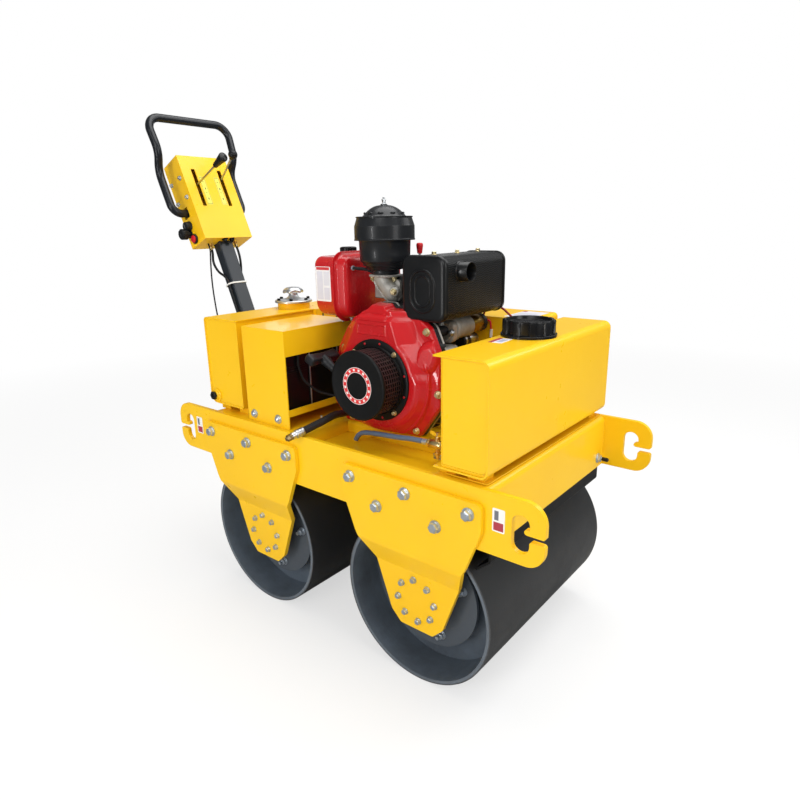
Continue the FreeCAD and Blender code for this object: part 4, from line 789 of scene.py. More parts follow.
weld("oilTankWeld", oilSeams, yellow, 0.0022, 0.0034)
ventHose = {"line": [(-0.33, 0.0282, 0.8405), (-0.33, 0.0295, 0.825), (-0.326, 0.031, 0.78), (-0.325, 0.033, 0.7),
                     (-0.33, 0.034, 0.574)], "bends": [0, 0.01, 0.05, 0.1, 0], "radius": 0.0045}
ventTube = tube(bent(ventHose["line"], ventHose["bends"], 6), ventHose["radius"], 12)
keep("tankVentHose", ventTube, rubber, 60)

# oil tank: sight plug in its boss
sight = {"bossY": -0.29, "plugY": -0.2985}
plug = middle("oil_sight_plug")
bossProfile = [(0.0205, 0), (0.0208, 0.0018), (0.0185, 0.0038), (0.016, 0.0042), (0.0155, 0.0085),
               (0.0145, 0.0095), (0.009, 0.0095)]
boss = spun(bossProfile, facing((plug.x, sight["bossY"], plug.z), (0, -1, 0)), 48)
keep("sightBoss", boss, yellow, 40)
plugProfile = [(0.0125, 0), (0.0132, 0.001), (0.0132, 0.007), (0.012, 0.0085), (0.007, 0.0085), (0.0062, 0.005),
               (0, 0.005)]
plugMesh = spun(plugProfile, facing((plug.x, sight["plugY"], plug.z), (0, -1, 0)), 6)
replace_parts(keep("sightPlug", plugMesh, plastic, 30), "oil_sight_plug")

# front deck: the stud on its edge, the rails under the water tank
deckEdge = {"studY": 0.27, "studZ": 0.4535, "tipOut": 0.013, "railRear": 0.112, "railFront": 0.006, "railHalf": 0.3,
            "railRise": 0.0035}
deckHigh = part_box("front_deck")[1]
fasteners("frontStud", [((deckHigh.x, deckEdge["studY"], deckEdge["studZ"]), (1, 0, 0))], zinc)
tip = facing((deckHigh.x + deckEdge["tipOut"], deckEdge["studY"], deckEdge["studZ"]), (1, 0, 0))
tipMesh = spun([(0.0052, 0), (0.0056, 0.002), (0.0056, 0.015), (0.003, 0.018)], tip, 20)
keep("frontStudTip", tipMesh, plastic)
railBox = (highWater.x - deckEdge["railRear"], highWater.x - deckEdge["railFront"], -deckEdge["railHalf"],
           deckEdge["railHalf"])
railFoot = deckHigh.z + deckEdge["railRise"]
rails = lofted(railBox, [0.004] * 4, [(railFoot, 0.002), (railFoot + 0.001, 0), (lowWater.z + 0.002, 0)], "z")
keep("tankRails", rails, yellow, 40)

# oil filler: plated flange and lobed knob
filler = {"screws": 6, "screwTurn": 10, "screwRise": 0.0075, "screwCircle": 0.049, "lobes": 6, "lobeDip": 0.13,
          "wingHalf": 0.0328, "wingRise": 0.0202}
lowFiller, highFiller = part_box("oil_filler")
port = middle("oil_filler")
base = spun([(0.05, 0), (0.058, 0.001), (0.058, 0.006), (0.0555, 0.008), (0.044, 0.0088), (0.034, 0.0105),
             (0.026, 0.0115), (0.0205, 0.014), (0.0155, 0.019), (0.0132, 0.025), (0.0132, 0.034)],
            Matrix.Translation((port.x, port.y, lowFiller.z)), 72)


def wingShape(work):  # lobed hand knob: the rim dips between its lobes
    profile = [(0, 0.02), (0.35, 0.0196), (0.62, 0.0178), (0.84, 0.0138), (0.96, 0.0092), (1.0, 0.005),
               (0.97, 0.0018), (0.88, 0.0004), (0.74, 0.002), (0.58, 0.0045), (0.42, 0.005), (0, 0.005)]
    steps, rows = 144, []
    for share, height in profile:
        row = []
        for k in range(steps):
            angle = 2 * math.pi * k / steps
            lobe = 0.5 + 0.5 * math.cos(angle * filler["lobes"])
            reach = filler["wingHalf"] * max(share, 0.0005) * (1 - filler["lobeDip"] * (1 - lobe) * share ** 4)
            rise = height + (1 - lobe) * 0.005 * share ** 3 * (1 - height / 0.02)
            row.append(work.verts.new((reach * math.cos(angle), reach * math.sin(angle), rise)))
        rows.append(row)
    skin(work, rows)


wing = meshed(wingShape, Matrix.Translation((port.x, port.y, highFiller.z - filler["wingRise"])))
knob = keep("fillerKnob", joined([base, wing]), knobSilver, 50)
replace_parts(knob, "oil_filler")
spots = []
for k in range(filler["screws"]):
    along, across = circle(filler["screwCircle"], 360 * k / filler["screws"] + filler["screwTurn"])
    spots.append(((port.x + along, port.y + across, lowFiller.z + filler["screwRise"]), (0, 0, 1)))
fasteners("fillerScrews", spots, satinBlack)

# water cap: gripped skirt over a plain flange, dished top with ring lines
lowCap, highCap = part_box("water_tank_cap")
capX, capY, _ = middle("water_tank_cap")
cap = {"outer": (highCap.x - lowCap.x) / 2, "tall": highCap.z - lowCap.z, "step": 0.0035, "rim": 0.0125,
       "dish": 0.0078, "grips": 10, "grip": 0.0048}


def capShape(work):
    skirt, tall, inner = cap["outer"] - cap["step"], cap["tall"], cap["outer"] - cap["rim"]
    profile = [(cap["outer"], 0, 0), (cap["outer"], 0.0056, 0), (cap["outer"] - 0.0007, 0.0063, 0),
               (skirt, 0.0067, 0), (skirt, 0.0088, 1), (skirt, tall - 0.004, 1), (skirt - 0.0007, tall - 0.0014, 0.9),
               (skirt - 0.002, tall, 0.7), (inner + 0.001, tall, 0), (inner, tall - 0.0006, 0),
               (inner - 0.002, tall - 0.007, 0), (inner - 0.0036, tall - cap["dish"], 0),
               (0.02, tall - cap["dish"], 0)]
    rows, steps = [], 240
    for reach, rise, cut in profile:
        row = []
        for k in range(steps):
            angle = 2 * math.pi * (k + 5) / steps
            share = max(0, min(1.0, (math.cos(angle * cap["grips"]) + 0.4) / 0.35))
            r = reach - cap["grip"] * cut * share
            row.append(work.verts.new((capX + r * math.cos(angle), capY + r * math.sin(angle), lowCap.z + rise)))
        rows.append(row)
    skin(work, rows)


capBody = keep("waterCap", meshed(capShape), capPlastic, 35)
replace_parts(capBody, "water_tank_cap")
rings = []
for radius, z in ((cap["outer"] - cap["rim"] + 0.003, highCap.z - 0.0002), (0.036, highCap.z - cap["dish"])):
    turned = [circle(radius, 6 * s) for s in range(60)]
    rings.append(tube([(capX + x, capY + y, z) for x, y in turned], 0.0009, 8, True))
keep("waterCapRings", joined(rings), capPlastic)

# engine: red fan housing, one relief over its outline (millimetres from the crank)
lowRecoil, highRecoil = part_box("recoil_starter")
recoil = {"ring": 0.105, "cage": 0.084, "face": 0.088, "bars": 46, "rows": 9, "rivetCircle": 0.096,
          "rivets": (110, 80, 14, -18, -78, 140, 165, -150, -120), "bolts": (49, -51, 137, -137),
          "badge": (0.0335, 0.0465), "badgeBlocks": 16}
crankX, crankZ = highRecoil.x - recoil["ring"], highRecoil.z - recoil["ring"]
housing = {"flangeY": -0.15, "faceY": -0.186, "lip": 4, "depth": 0.0075,
           "outline": ((-144, -139, 12), (112, -139, 12), (176, -50, 20), (173, 82, 14), (146, 141, 18),
                       (110, 165, 16), (72, 179, 8), (31, 179, 4), (22, 190, 6), (-20, 191, 6), (-34, 180, 5),
                       (-56, 172, 14), (-96, 152, 22), (-126, 124, 26), (-162, 66, 34), (-190, -88, 20)),
           "bowl": ((0, 36), (119, 36), (124, 34.8), (132, 30.5), (140, 24), (149, 17), (157, 11), (165, 7),
                    (176, 4.5), (190, 3.5)),
           "bossRise": 9.5, "bosses": ((139, 131), (172, -17), (106, -121), (-130, 70), (-160, -60), (-112, -122)),
           "pad": ((116, 160), (128, 124), (141, 117), (166, 108), (152, 142)),
           "scoop": (141, 68, 33, 44), "scoopRise": 25, "scoopFall": 0.17, "scoopPower": 2.4,
           "panel": (-60, 33, 114, 142), "ledge": (-54, 36, 148, 166), "ledgeRise": 38.8, "ledgeBack": 158,
           "rib": 150, "ribRise": 3.0, "ribTop": 60}
duct = {"rise": 36, "edgeZ": 151, "edgeSlope": 0.01, "edgeDrop": 10.0,  # slopes are per millimetre
        "front": (44, 162), "frontWay": (0.944, 0.33), "frontSlope": 0.6, "brinkSlope": 0.5,
        "rear": (-58, 155), "rearWay": (-0.87, 0.49), "rearSlope": 0.8, "foot": 20, "footSlope": 0.6}


def edgeDistance(x, z, corners):  # inside is positive
    best, inside = 1e9, False
    for (ax, az), (bx, bz) in zip(corners, corners[1:] + corners[:1]):
        t = max(0, min(1, ((x - ax) * (bx - ax) + (z - az) * (bz - az)) / ((bx - ax) ** 2 + (bz - az) ** 2)))
        best = min(best, math.hypot(x - ax - t * (bx - ax), z - az - t * (bz - az)))
        if (az > z) != (bz > z) and x < (bx - ax) * (z - az) / (bz - az) + ax:
            inside = not inside
    return best if inside else -best


def eased(value):  # soft step from 0 to 1
    value = max(0, min(1.0, value))
    return value * value * (3 - 2 * value)


def softened(value, width):  # the larger of value and 0, with a rounded corner
    return max(value, 0) + width * math.log(1 + math.exp(-abs(value) / width))


def ductHeight(x, z):  # flat top that falls off at its upper edge, both slanted sides and its foot
    top = duct["rise"] - max(0, min(duct["edgeDrop"], z - (duct["edgeZ"] + duct["edgeSlope"] * x)))
    (frontX, frontZ), (wayX, wayZ) = duct["front"], duct["frontWay"]
    across = (x - frontX) * wayX + (z - frontZ) * wayZ
    (rearX, rearZ), (wayX, wayZ) = duct["rear"], duct["rearWay"]
    behind = softened((x - rearX) * wayX + (z - rearZ) * wayZ, 1.5)
    brink = 36 + 10 * (176 - z) / 130  # past it the front side is steeper
    height = top - duct["frontSlope"] * softened(across, 1.8) - duct["brinkSlope"] * softened(across - brink, 2.5)
    return height - behind * duct["rearSlope"] - max(duct["foot"] - z, 0) * duct["footSlope"]


def depthInside(x, z, box):  # distance in from the nearest side
    lowX, highX, lowZ, highZ = box
    return min(x - lowX, highX - x, z - lowZ, highZ - z)


def housingHeight(x, z, inward):  # dished bowl, air duct above it, scoop, pads, bosses, panel, ledge and rim rib
    reach = math.hypot(x, z)
    bowl = housing["bowl"]
    height = bowl[-1][1]
    dish = reach + 9 * eased((z - 5) / 30) * eased((x - 20) / 30)  # the bowl is tighter in its upper front quarter
    for (r0, h0), (r1, h1) in zip(bowl, bowl[1:]):
        if r0 <= dish < r1:
            height = h0 + (h1 - h0) * (dish - r0) / (r1 - r0)
    height = math.log(math.exp(height / 0.5) + math.exp(max(ductHeight(x, z), 0) / 0.5)) * 0.5  # soft maximum
    sx, sz, wide, high = housing["scoop"]
    power = housing["scoopPower"]
    inside = 1 - abs((x - sx + (z - sz) * -0.25) / wide) ** power - abs((z - sz) / high) ** power
    scoopTop = housing["scoopRise"] - housing["scoopFall"] * (x - 110)
    height = max(height, scoopTop * min(1.0, inside * 1.3) ** 0.55 if inside > 0 else 0)
    height = max(height, 4 + 5 * eased((edgeDistance(x, z, list(housing["pad"])) + 1) / 3))
    for bx, bz in housing["bosses"]:
        height = max(height, housing["bossRise"] * eased((14 - math.hypot(x - bx, z - bz)) / 3))
    border = depthInside(x, z, housing["panel"])
    height += 1.3 * eased((border + 1.5) / 2) - 2.4 * eased((border - 2.5) / 2)  # raised frame, sunk field
    lip = depthInside(x, z, housing["ledge"])
    if lip > 0:
        height += max(housing["ledgeRise"] - max(0, z - housing["ledgeBack"]) - height, 0) * eased(lip / 2.2)
    ribTop = housing["ribTop"]
    rib = abs(reach - housing["rib"]) if x > 0 and z < ribTop else 99
    height += housing["ribRise"] * eased((5 - rib) / 4) * eased((ribTop - z) / 30) * eased(x / 40)
    return min(height, housing["ledgeRise"]) * eased(inward / 6) ** 0.5


def outlineReach(angle, corners):  # how far the outline is from the crank in one direction
    dx, dz = math.cos(angle), math.sin(angle)
    best = 0
    for (ax, az), (bx, bz) in zip(corners, corners[1:] + corners[:1]):
        cross = dx * (bz - az) - dz * (bx - ax)
        if abs(cross) < 1e-9:
            continue
        t = (ax * (bz - az) - az * (bx - ax)) / cross
        s = (ax * dz - az * dx) / cross
        if t > 0 and -1e-6 <= s <= 1 + 1e-6:
            best = max(best, t)
    return best


def softOutline():  # the housing's outline with its corners rounded
    outline = [Vector((x, 0, z)) for x, z, r in housing["outline"]]
    radii = [r for x, z, r in housing["outline"]]
    return [(point.x, point.z) for point in bent([outline[-1]] + outline + [outline[0]], [0] + radii + [0], 5)[1:-1]]


def housingShape(work):
    soft = softOutline()
    steps, rows, count = 560, [], 110
    angles = [2 * math.pi * k / steps for k in range(steps)]
    reaches = [outlineReach(a, soft) for a in angles]
    inner = recoil["ring"] * 1000 - 8
    for level in range(count + 1):
        t = (level / count) ** 1.1
        row = []
        for angle, reach in zip(angles, reaches):
            r = reach + (inner - reach) * t
            x, z = r * math.cos(angle), r * math.sin(angle)
            out = max(housingHeight(x, z, reach - r), 0) - housing["lip"] * (1 - eased((reach - r) / 3))
            row.append(work.verts.new((crankX + x * mm, housing["flangeY"] - out * mm, crankZ + z * mm)))
        rows.append(row)
    back = [work.verts.new((v.co.x, housing["flangeY"] + housing["depth"], v.co.z)) for v in rows[0]]
    skin(work, [back] + rows)


shell = keep("fanHousing", meshed(housingShape), red, 50)
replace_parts(shell, "fan_shroud")


def plateBehind(name, stations, material):  # the housing's outline at stations of (y, inset)
    soft = softOutline()
    angles = [2 * math.pi * k / 240 for k in range(240)]
    reaches = [outlineReach(a, soft) for a in angles]

    def build(work):
        rows = [[work.verts.new((crankX + (r - inset) * mm * math.cos(a), y, crankZ + (r - inset) * mm * math.sin(a)))
                 for a, r in zip(angles, reaches)] for y, inset in stations]
        skin(work, rows)
    return keep(name, meshed(build), material, 30)


grooves = [(-0.1425, 0.8), (-0.142, 0), (-0.1385, 0), (-0.138, 1.6), (-0.137, 1.6), (-0.1365, 0), (-0.134, 0),
           (-0.1335, 1.6), (-0.1325, 1.6), (-0.132, 0), (-0.1285, 0), (-0.128, 0.8)]
plateBehind("fanPlate", grooves, mufflerBlack)
edgeStations = [(-0.1282, 0.4), (-0.1277, -0.6), (-0.1222, -0.6), (-0.1215, 0.4)]
plateBehind("crankcaseEdge", edgeStations, castAlloy)
bossY = housing["flangeY"] - housing["bossRise"] * mm
spots = [((crankX + x * mm, bossY, crankZ + z * mm), (0, -1, 0)) for x, z in housing["bosses"]]
fasteners("housingBolts", spots, yellowZinc, seed=2)

# rope starter: ring, slotted cage, a very dark red rotor inside painted near-black and matte as shade behind the
# slots, face and badge
faceY = lowRecoil.y
seatY = housing["faceY"]
away = (0, -1, 0)
ringMesh = spun([(0.07, 0), (0.105, 0), (0.105, 0.003), (0.1035, 0.004), (0.0897, 0.004), (0.0889, 0.005),
                 (0.0889, 0.0074), (0.0881, 0.0084), (0.0868, 0.0086), (0.0858, 0.0078),
                 (0.0852, 0.0055), (0.07, 0.0055)],
                facing((crankX, seatY, crankZ), away), 96)
faceMesh = spun([(0.05, 0.004), (0.0845, 0.003), (0.0872, 0.0036), (0.088, 0.0055), (0.088, 0.0086), (0.0868, 0.0105),
                 (0.0845, 0.0115), (0.081, 0.0114), (0.079, 0.0108), (0.05, 0.0106), (0.0475, 0.0102), (0, 0.0102)],
                facing((crankX, faceY + 0.0115, crankZ), away), 96)
cageMesh = grown("cage", {"Radius": recoil["cage"] - 0.0012, "Length": 0.0665, "Bars": recoil["bars"],
                          "Bar Width": 0.0027, "Bar Depth": 0.0016, "Rings": recoil["rows"],
                          "Ring Height": 0.0024, "Material": cageBlack},
                 None, facing((crankX, (seatY + faceY) / 2 - 0.0003, crankZ), away))
pullGrip = {"exit": (-0.0865, 0.032, 0.01), "centre": (-0.1485, 0.032, 0.048), "tilt": 30}
ropeExit = Vector((crankX, faceY, crankZ)) + Vector(pullGrip["exit"])
gripCentre = Vector((crankX, faceY, crankZ)) + Vector(pullGrip["centre"])
pull = (gripCentre - ropeExit).normalized()
outlet = spun([(0.0125, -0.022), (0.0145, -0.006), (0.0145, -0.002), (0.012, 0), (0.009, 0)],
              facing(ropeExit, pull), 32)
starterBody = keep("ropeStarter", joined([ringMesh, faceMesh, outlet]), satinBlack, 40)
keep("starterCage", cageMesh, cageBlack, 30)
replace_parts(starterBody, "recoil_starter")
rotor = spun([(0, 0), (0.06, 0), (0.074, 0.01), (0.078, 0.03), (0.078, 0.058), (0, 0.058)],
             facing((crankX, seatY, crankZ), away), 48)
# the rotor's near-black, matte colour is painted shade: it stands for the dark inside of the cage seen through the
# slots
rotorShadeFinish = enamel("rotorShadeFinish", tone("0C0405"), tone("040202"), 0.7, 0, 0.001, 0.00004, 0.05, 0)
keep("fanRotor", rotor, rotorShadeFinish, 40)
badgeIn, badgeOut = recoil["badge"]
badge = ringFinish("starterBadge", tone("E0101A"), tone("EDE9E4"), recoil["badge"], (crankX, crankZ),
                   recoil["badgeBlocks"])
keep("starterBadge", spun([(badgeIn, 0), (badgeOut, 0), (badgeOut, 0.0005), (badgeIn, 0.0005)],
                          facing((crankX, faceY + 0.0013, crankZ), away), 96, False), badge, 0)
starterRim = (crankX, 0, crankZ)
fasteners("starterRivets", boltCircle(starterRim, recoil["rivetCircle"], seatY - 0.004, recoil["rivets"]),
          redPlastic, dome=True)
fasteners("starterBolts", boltCircle(starterRim, recoil["rivetCircle"], seatY - 0.004, recoil["bolts"]),
          yellowZinc)
gripMesh = lofted((-0.0155, 0.0155, -0.0118, 0.0118), [0.0065] * 4,
                  [(-0.0495, 0.0042), (-0.0482, 0.0014), (-0.0445, 0), (-0.024, 0.0022), (0, 0.0032), (0.024, 0.0022),
                   (0.0445, 0), (0.0482, 0.0014), (0.0495, 0.0042)], "y", 6)
gripMesh.transform(Matrix.Translation(gripCentre) @ Matrix.Rotation(math.radians(pullGrip["tilt"]), 4, "Y"))
stemMesh = spun([(0.004, -0.0005), (0.0078, 0), (0.0095, 0.008), (0.0105, 0.03), (0.0135, 0.052), (0.016, 0.066)],
                facing(ropeExit + pull * 0.0006, pull), 28)
grip = keep("pullHandle", joined([gripMesh, stemMesh]), plastic, 60)
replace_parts(grip, "recoil_grip")
print("housing and rope starter made")

# fuel tank: two pressed halves on a standing seam
lowFuel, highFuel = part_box("fuel_tank")
fuelTank = {"reach": 0.012, "corner": 0.026, "lowCorner": 0.038, "seamX": -0.088, "sign": (-0.1625, 0.0003, 0.043),
            "signSize": (0.056, 0.092), "straps": ((-0.106, -0.105), (-0.071, -0.105), (-0.106, 0.05)),
            "hose": [(-0.004, -0.123, 0.982), (0.022, -0.121, 0.9815), (0.05, -0.108, 0.978), (0.068, -0.1, 0.962)],
            "hoseBends": [0, 0.05, 0.04, 0], "hoseRadius": 0.0042, "clip": (0.003, -0.1226, 0.9819)}
reach = fuelTank["reach"]
inside = (lowFuel.y + reach, highFuel.y - reach, lowFuel.z, highFuel.z - reach)
radii = [fuelTank["lowCorner"]] + [fuelTank["corner"]] * 3
rearEnd = [(0, 0.017), (0.0016, 0.0105), (0.005, 0.0055), (0.01, 0.002), (0.017, 0.0004)]
seam = [(-0.006, 0), (-0.003, -0.0015), (0, -0.006), (0, -0.0105), (0.0006, -0.0118), (0.0024, -0.0118),
        (0.003, -0.0105), (0.003, -0.006), (0.006, -0.0015), (0.009, 0)]
frontEnd = [(-0.01, 0.0006), (-0.004, 0.004), (-0.001, 0.01), (0, 0.017)]
stretches = ((lowFuel.x, rearEnd), (fuelTank["seamX"], seam), (highFuel.x, frontEnd))
stations = [(start + along, inset) for start, part in stretches for along, inset in part]
tank = keep("fuelTankShell", lofted(inside, radii, stations, "x", 10), red, 50)
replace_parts(tank, "fuel_tank")
labelZones = [(0.06, 0.9, 0.94, 0.985, tone("D02A30")), (0.08, 0.05, 0.48, 0.86, tone("DDDDE8")),
              (0.54, 0.05, 0.92, 0.4, tone("DDDDE8")), (0.54, 0.46, 0.92, 0.86, tone("E2E2EA"))]
labelSign = printFinish("fuelLabelPrint", tone("F4F4F6"), labelZones)
signX, signOut, signRise = fuelTank["sign"]
signPlace = (signX, inside[0] + signOut, lowFuel.z + signRise)
sheetOn("fuelSign", signPlace, (1, 0, 0), (0, 0, 1), fuelTank["signSize"], 0.003, labelSign)
fuelCap = {"radius": 0.0222, "ribs": 30, "ribRise": 0.0137, "ribLength": 0.011}
capFoot = middle("fuel_cap")
capFoot.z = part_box("fuel_cap")[0].z
capBody = spun([(0.017, 0), (0.0175, 0.006), (0.0215, 0.0065), (fuelCap["radius"], 0.009), (fuelCap["radius"], 0.018),
                (0.021, 0.021), (0.018, 0.0216), (0.0165, 0.0205), (0, 0.0205)], Matrix.Translation(capFoot), 48)
ribSizes = {"Radius": fuelCap["radius"], "Length": fuelCap["ribLength"], "Bars": fuelCap["ribs"],
            "Bar Width": 0.0022, "Bar Depth": 0.0014, "Rings": 2, "Ring Height": 0.001, "Material": capPlastic}
capRibs = grown("cage", ribSizes, None, Matrix.Translation(capFoot + Vector((0, 0, fuelCap["ribRise"]))))
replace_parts(keep("fuelCapTop", joined([capBody, capRibs]), capPlastic, 40), "fuel_cap")
hosePath = bent([(highFuel.x + x, y, z) for x, y, z in fuelTank["hose"]], fuelTank["hoseBends"], 8)
keep("returnHose", tube(hosePath, fuelTank["hoseRadius"], 14), rubber, 60)
clipX, clipY, clipZ = fuelTank["clip"]
clipMesh = spun([(0.0046, 0), (0.0062, 0.0005), (0.0062, 0.0045), (0.0046, 0.005)],
                facing((highFuel.x + clipX, clipY, clipZ), (1, 0.05, 0)), 24)
keep("hoseClip", clipMesh, zinc)
fasteners("tankStraps", [((x, y, lowFuel.z), (0, 0, -1)) for x, y in fuelTank["straps"]], zinc)

# air cleaner: foot, bowl, wide band, dome with louvres, wing nut
lowCleaner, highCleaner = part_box("air_cleaner")
cleaner = {"band": 0.077, "louvres": 10, "louvreCircle": 0.0482, "louvreRise": 0.1484,
           "louvreSize": (0.0078, 0.0032, 0.0038), "louvreTurn": 0.35, "nutDrop": 0.0105, "studRise": 0.17}
cleanX, cleanY, footZ = highCleaner.x - cleaner["band"], highCleaner.y - cleaner["band"], lowCleaner.z
profile = [(0.03, 0), (0.0355, 0.0005), (0.036, 0.002), (0.036, 0.0095), (0.0385, 0.0112), (0.0455, 0.0125),
           (0.048, 0.0142), (0.05, 0.0195), (0.0518, 0.0208), (0.0545, 0.0215), (0.0562, 0.023), (0.058, 0.029),
           (0.06, 0.0304), (0.0622, 0.0318), (0.0634, 0.035), (0.0642, 0.05), (0.0655, 0.0826), (0.0662, 0.0834),
           (0.0764, 0.0838), (0.077, 0.0846), (0.077, 0.0866), (0.0762, 0.0874), (0.076, 0.0886), (0.076, 0.09),
           (0.076, 0.1176), (0.076, 0.1188), (0.0757, 0.1194), (0.075, 0.1212), (0.0702, 0.136), (0.0696, 0.1378),
           (0.0697, 0.1384), (0.0714, 0.1388), (0.0716, 0.1408), (0.0708, 0.1414), (0.056, 0.1416)]
crown = [(0.0548, 0.1422), (0.0522, 0.1448), (0.0487, 0.1485), (0.045, 0.152), (0.0411, 0.1554), (0.0366, 0.1588),
         (0.0315, 0.162), (0.0258, 0.1647), (0.0198, 0.1667), (0.014, 0.1678)]
bowlMesh = spun(profile + crown + [(0.009, 0.1682), (0.0085, 0.17), (0, 0.17)],
                Matrix.Translation((cleanX, cleanY, footZ)), 96)


def louvreShape(work):  # half a squashed ball, flat side down
    bmesh.ops.create_uvsphere(work, u_segments=14, v_segments=8, radius=1.0)
    wide, deep, high = cleaner["louvreSize"]
    for vert in work.verts:
        vert.co = Vector((vert.co.x * wide, vert.co.y * deep, max(vert.co.z, 0) * high))


louvres = []
for k in range(cleaner["louvres"]):
    angle = 2 * math.pi * (k + cleaner["louvreTurn"]) / cleaner["louvres"]
    across, along = math.cos(angle), math.sin(angle)
    place = Vector((cleanX + cleaner["louvreCircle"] * across, cleanY + cleaner["louvreCircle"] * along,
                    footZ + cleaner["louvreRise"]))
    louvres.append(meshed(louvreShape, facing(place, (across * 0.7, along * 0.7, 0.71))))
cleanerBody = keep("airCleanerBody", joined([bowlMesh] + louvres), cleanerBlack, 40)
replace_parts(cleanerBody, "air_cleaner")


def wingNut(work):  # a ball drawn out to two raised wings
    bmesh.ops.create_uvsphere(work, u_segments=24, v_segments=14, radius=1.0)
    for vert in work.verts:
        x, y, z = vert.co
        vert.co = Vector((x * 0.0056, y * 0.0036 * (1.2 - 0.7 * abs(x)), z * 0.0048 + 0.006 * abs(x) ** 1.3))


nutPlace = Matrix.Translation((cleanX, cleanY, highCleaner.z - cleaner["nutDrop"]))
nut = meshed(wingNut, nutPlace @ Matrix.Rotation(0.6, 4, "Z"))
stud = spun([(0.0075, -0.001), (0.0075, 0.001), (0.0045, 0.0015), (0.0045, 0.006), (0.0028, 0.0065),
             (0.0028, 0.0165), (0.002, 0.0172)],
            Matrix.Translation((cleanX, cleanY, footZ + cleaner["studRise"])), 24)
keep("cleanerWingNut", joined([nut, stud]), steel, 50)

# intake elbow: flange with lugs and a scooped casting down to the head
elbow = {"flange": (0.004, 0.079, -0.123, -0.065), "thick": 0.0065, "seat": (0.029, 0.085, 0.899, 0.955),
         "back": -0.0804, "boss": (0.0835, -0.1125, 0.9262), "bossWay": (0.45, -1, -0.1),
         "bossBolt": (0.0842, -0.1138, 0.926), "footBolts": ((0.0165, -0.114), (0.07, -0.093))}
scoop = [  # height below the foot, centre x, centre y, half width, half depth
    (0.0065, 0.035, -0.0955, 0.0275, 0.024), (0.0085, 0.0352, -0.0955, 0.0255, 0.0232),
    (0.013, 0.037, -0.0952, 0.025, 0.023), (0.019, 0.0405, -0.0948, 0.0258, 0.0232),
    (0.025, 0.0455, -0.0944, 0.0285, 0.0234), (0.031, 0.0505, -0.094, 0.0305, 0.0236),
    (0.038, 0.0555, -0.093, 0.03, 0.0235), (0.045, 0.0588, -0.0922, 0.0278, 0.0228),
    (0.052, 0.0615, -0.0914, 0.0245, 0.0215), (0.06, 0.0635, -0.0905, 0.0198, 0.0188),
    (0.067, 0.0645, -0.0898, 0.0135, 0.014), (0.07, 0.065, -0.0896, 0.007, 0.008)]


def scoopShape(work):
    rows = []
    for drop, x, y, wide, deep in scoop:
        row = []
        for k in range(48):
            a = 2 * math.pi * k / 48
            c, s = math.cos(a), math.sin(a)
            across, out = x + math.copysign(abs(c) ** 0.8, c) * wide, y + math.copysign(abs(s) ** 0.8, s) * deep
            row.append(work.verts.new((across, min(out, elbow["back"]), footZ - drop)))
        rows.append(row)
    skin(work, rows)


flangeFoot = footZ - elbow["thick"]
flangeTop = lofted(elbow["flange"], [0.013, 0.034, 0.013, 0.013],
                   [(flangeFoot, 0.0012), (flangeFoot + 0.001, 0), (footZ - 0.001, 0), (footZ, 0.0012)], "z")
seat = lofted(elbow["seat"], [0.012] * 4, [(-0.0902, 0.0015), (-0.0895, 0), (-0.0802, 0)], "y")
seamLine = [(x - wide * 0.82, y - deep * 0.74, footZ - drop) for drop, x, y, wide, deep in scoop[1:]]
seamRib = tube(seamLine, 0.0024, 10)
plugBoss = spun([(0.0125, -0.012), (0.0122, 0), (0.0112, 0.0014), (0, 0.0014)],
                facing(elbow["boss"], elbow["bossWay"]), 32)
casting = joined([meshed(scoopShape), flangeTop, seat, seamRib, plugBoss])
elbowBody = keep("intakeCasting", casting, castAlloy, 55)
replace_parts(elbowBody, "intake_elbow")
spots = [(elbow["bossBolt"], elbow["bossWay"])] + [((x, y, flangeFoot), (0, 0, -1)) for x, y in elbow["footBolts"]]
fasteners("elbowBolts", spots, yellowZinc)

# cylinder fins, head cover with its nuts, rocker housing
head = {"fins": {"Width": 0.1095, "Depth": 0.135, "Corner": 0.014, "Thickness": 0.0026, "Count": 6, "Pitch": 0.0142,
                 "Material": castAlloy},
        "finPlace": (0.085, -0.0205, 0.811), "cover": (0.032, 0.138, -0.078, 0.038),
        "nutX": (0.044, 0.126), "nutY": (-0.066, 0.026), "nutZ": 0.96, "rocker": (-0.014, 0.034, -0.079, -0.02)}
keep("cylinderFins", grown("fins", head["fins"], None, Matrix.Translation(head["finPlace"])), None, 0)
headMesh = lofted(head["cover"], [0.014] * 4,
                  [(0.8955, 0.0015), (0.8975, 0), (0.948, 0), (0.955, 0.0015), (0.9605, 0.005), (0.9615, 0.01)], "z")
keep("headCover", headMesh, castAlloy)
spots = [((x, y, head["nutZ"]), (0, 0, 1)) for y in head["nutY"] for x in head["nutX"]]
fasteners("headNuts", spots, zinc)
rocker = lofted(head["rocker"], [0.01] * 4,
                [(0.9025, 0.003), (0.9045, 0), (0.956, 0), (0.9585, 0.002), (0.959, 0.006)], "z")
keep("rockerHousing", rocker, castAlloy)

# decompression lever: rod with a red knob
lowLever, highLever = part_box("decompression_lever")
leverX, leverY, _ = middle("decompression_lever")
knobLong = 0.0275
rod = spun([(0.0055, 0), (0.0055, 0.006), (0.003, 0.007), (0.003, 0.06)],
           Matrix.Translation((leverX, leverY, lowLever.z)), 20)
keep("decompressionRod", rod, steel)
knobProfile = [(0.004, 0), (0.0062, 0.001), (0.0068, 0.005), (0.0078, 0.012), (0.0088, 0.02), (0.0085, 0.0245),
               (0.006, 0.027), (0, knobLong)]
knobMesh = spun(knobProfile, Matrix.Translation((leverX, leverY, highLever.z - knobLong)), 32)
redKnob = keep("decompressionKnob", knobMesh, redPlastic, 50)
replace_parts(redKnob, "decompression_lever")

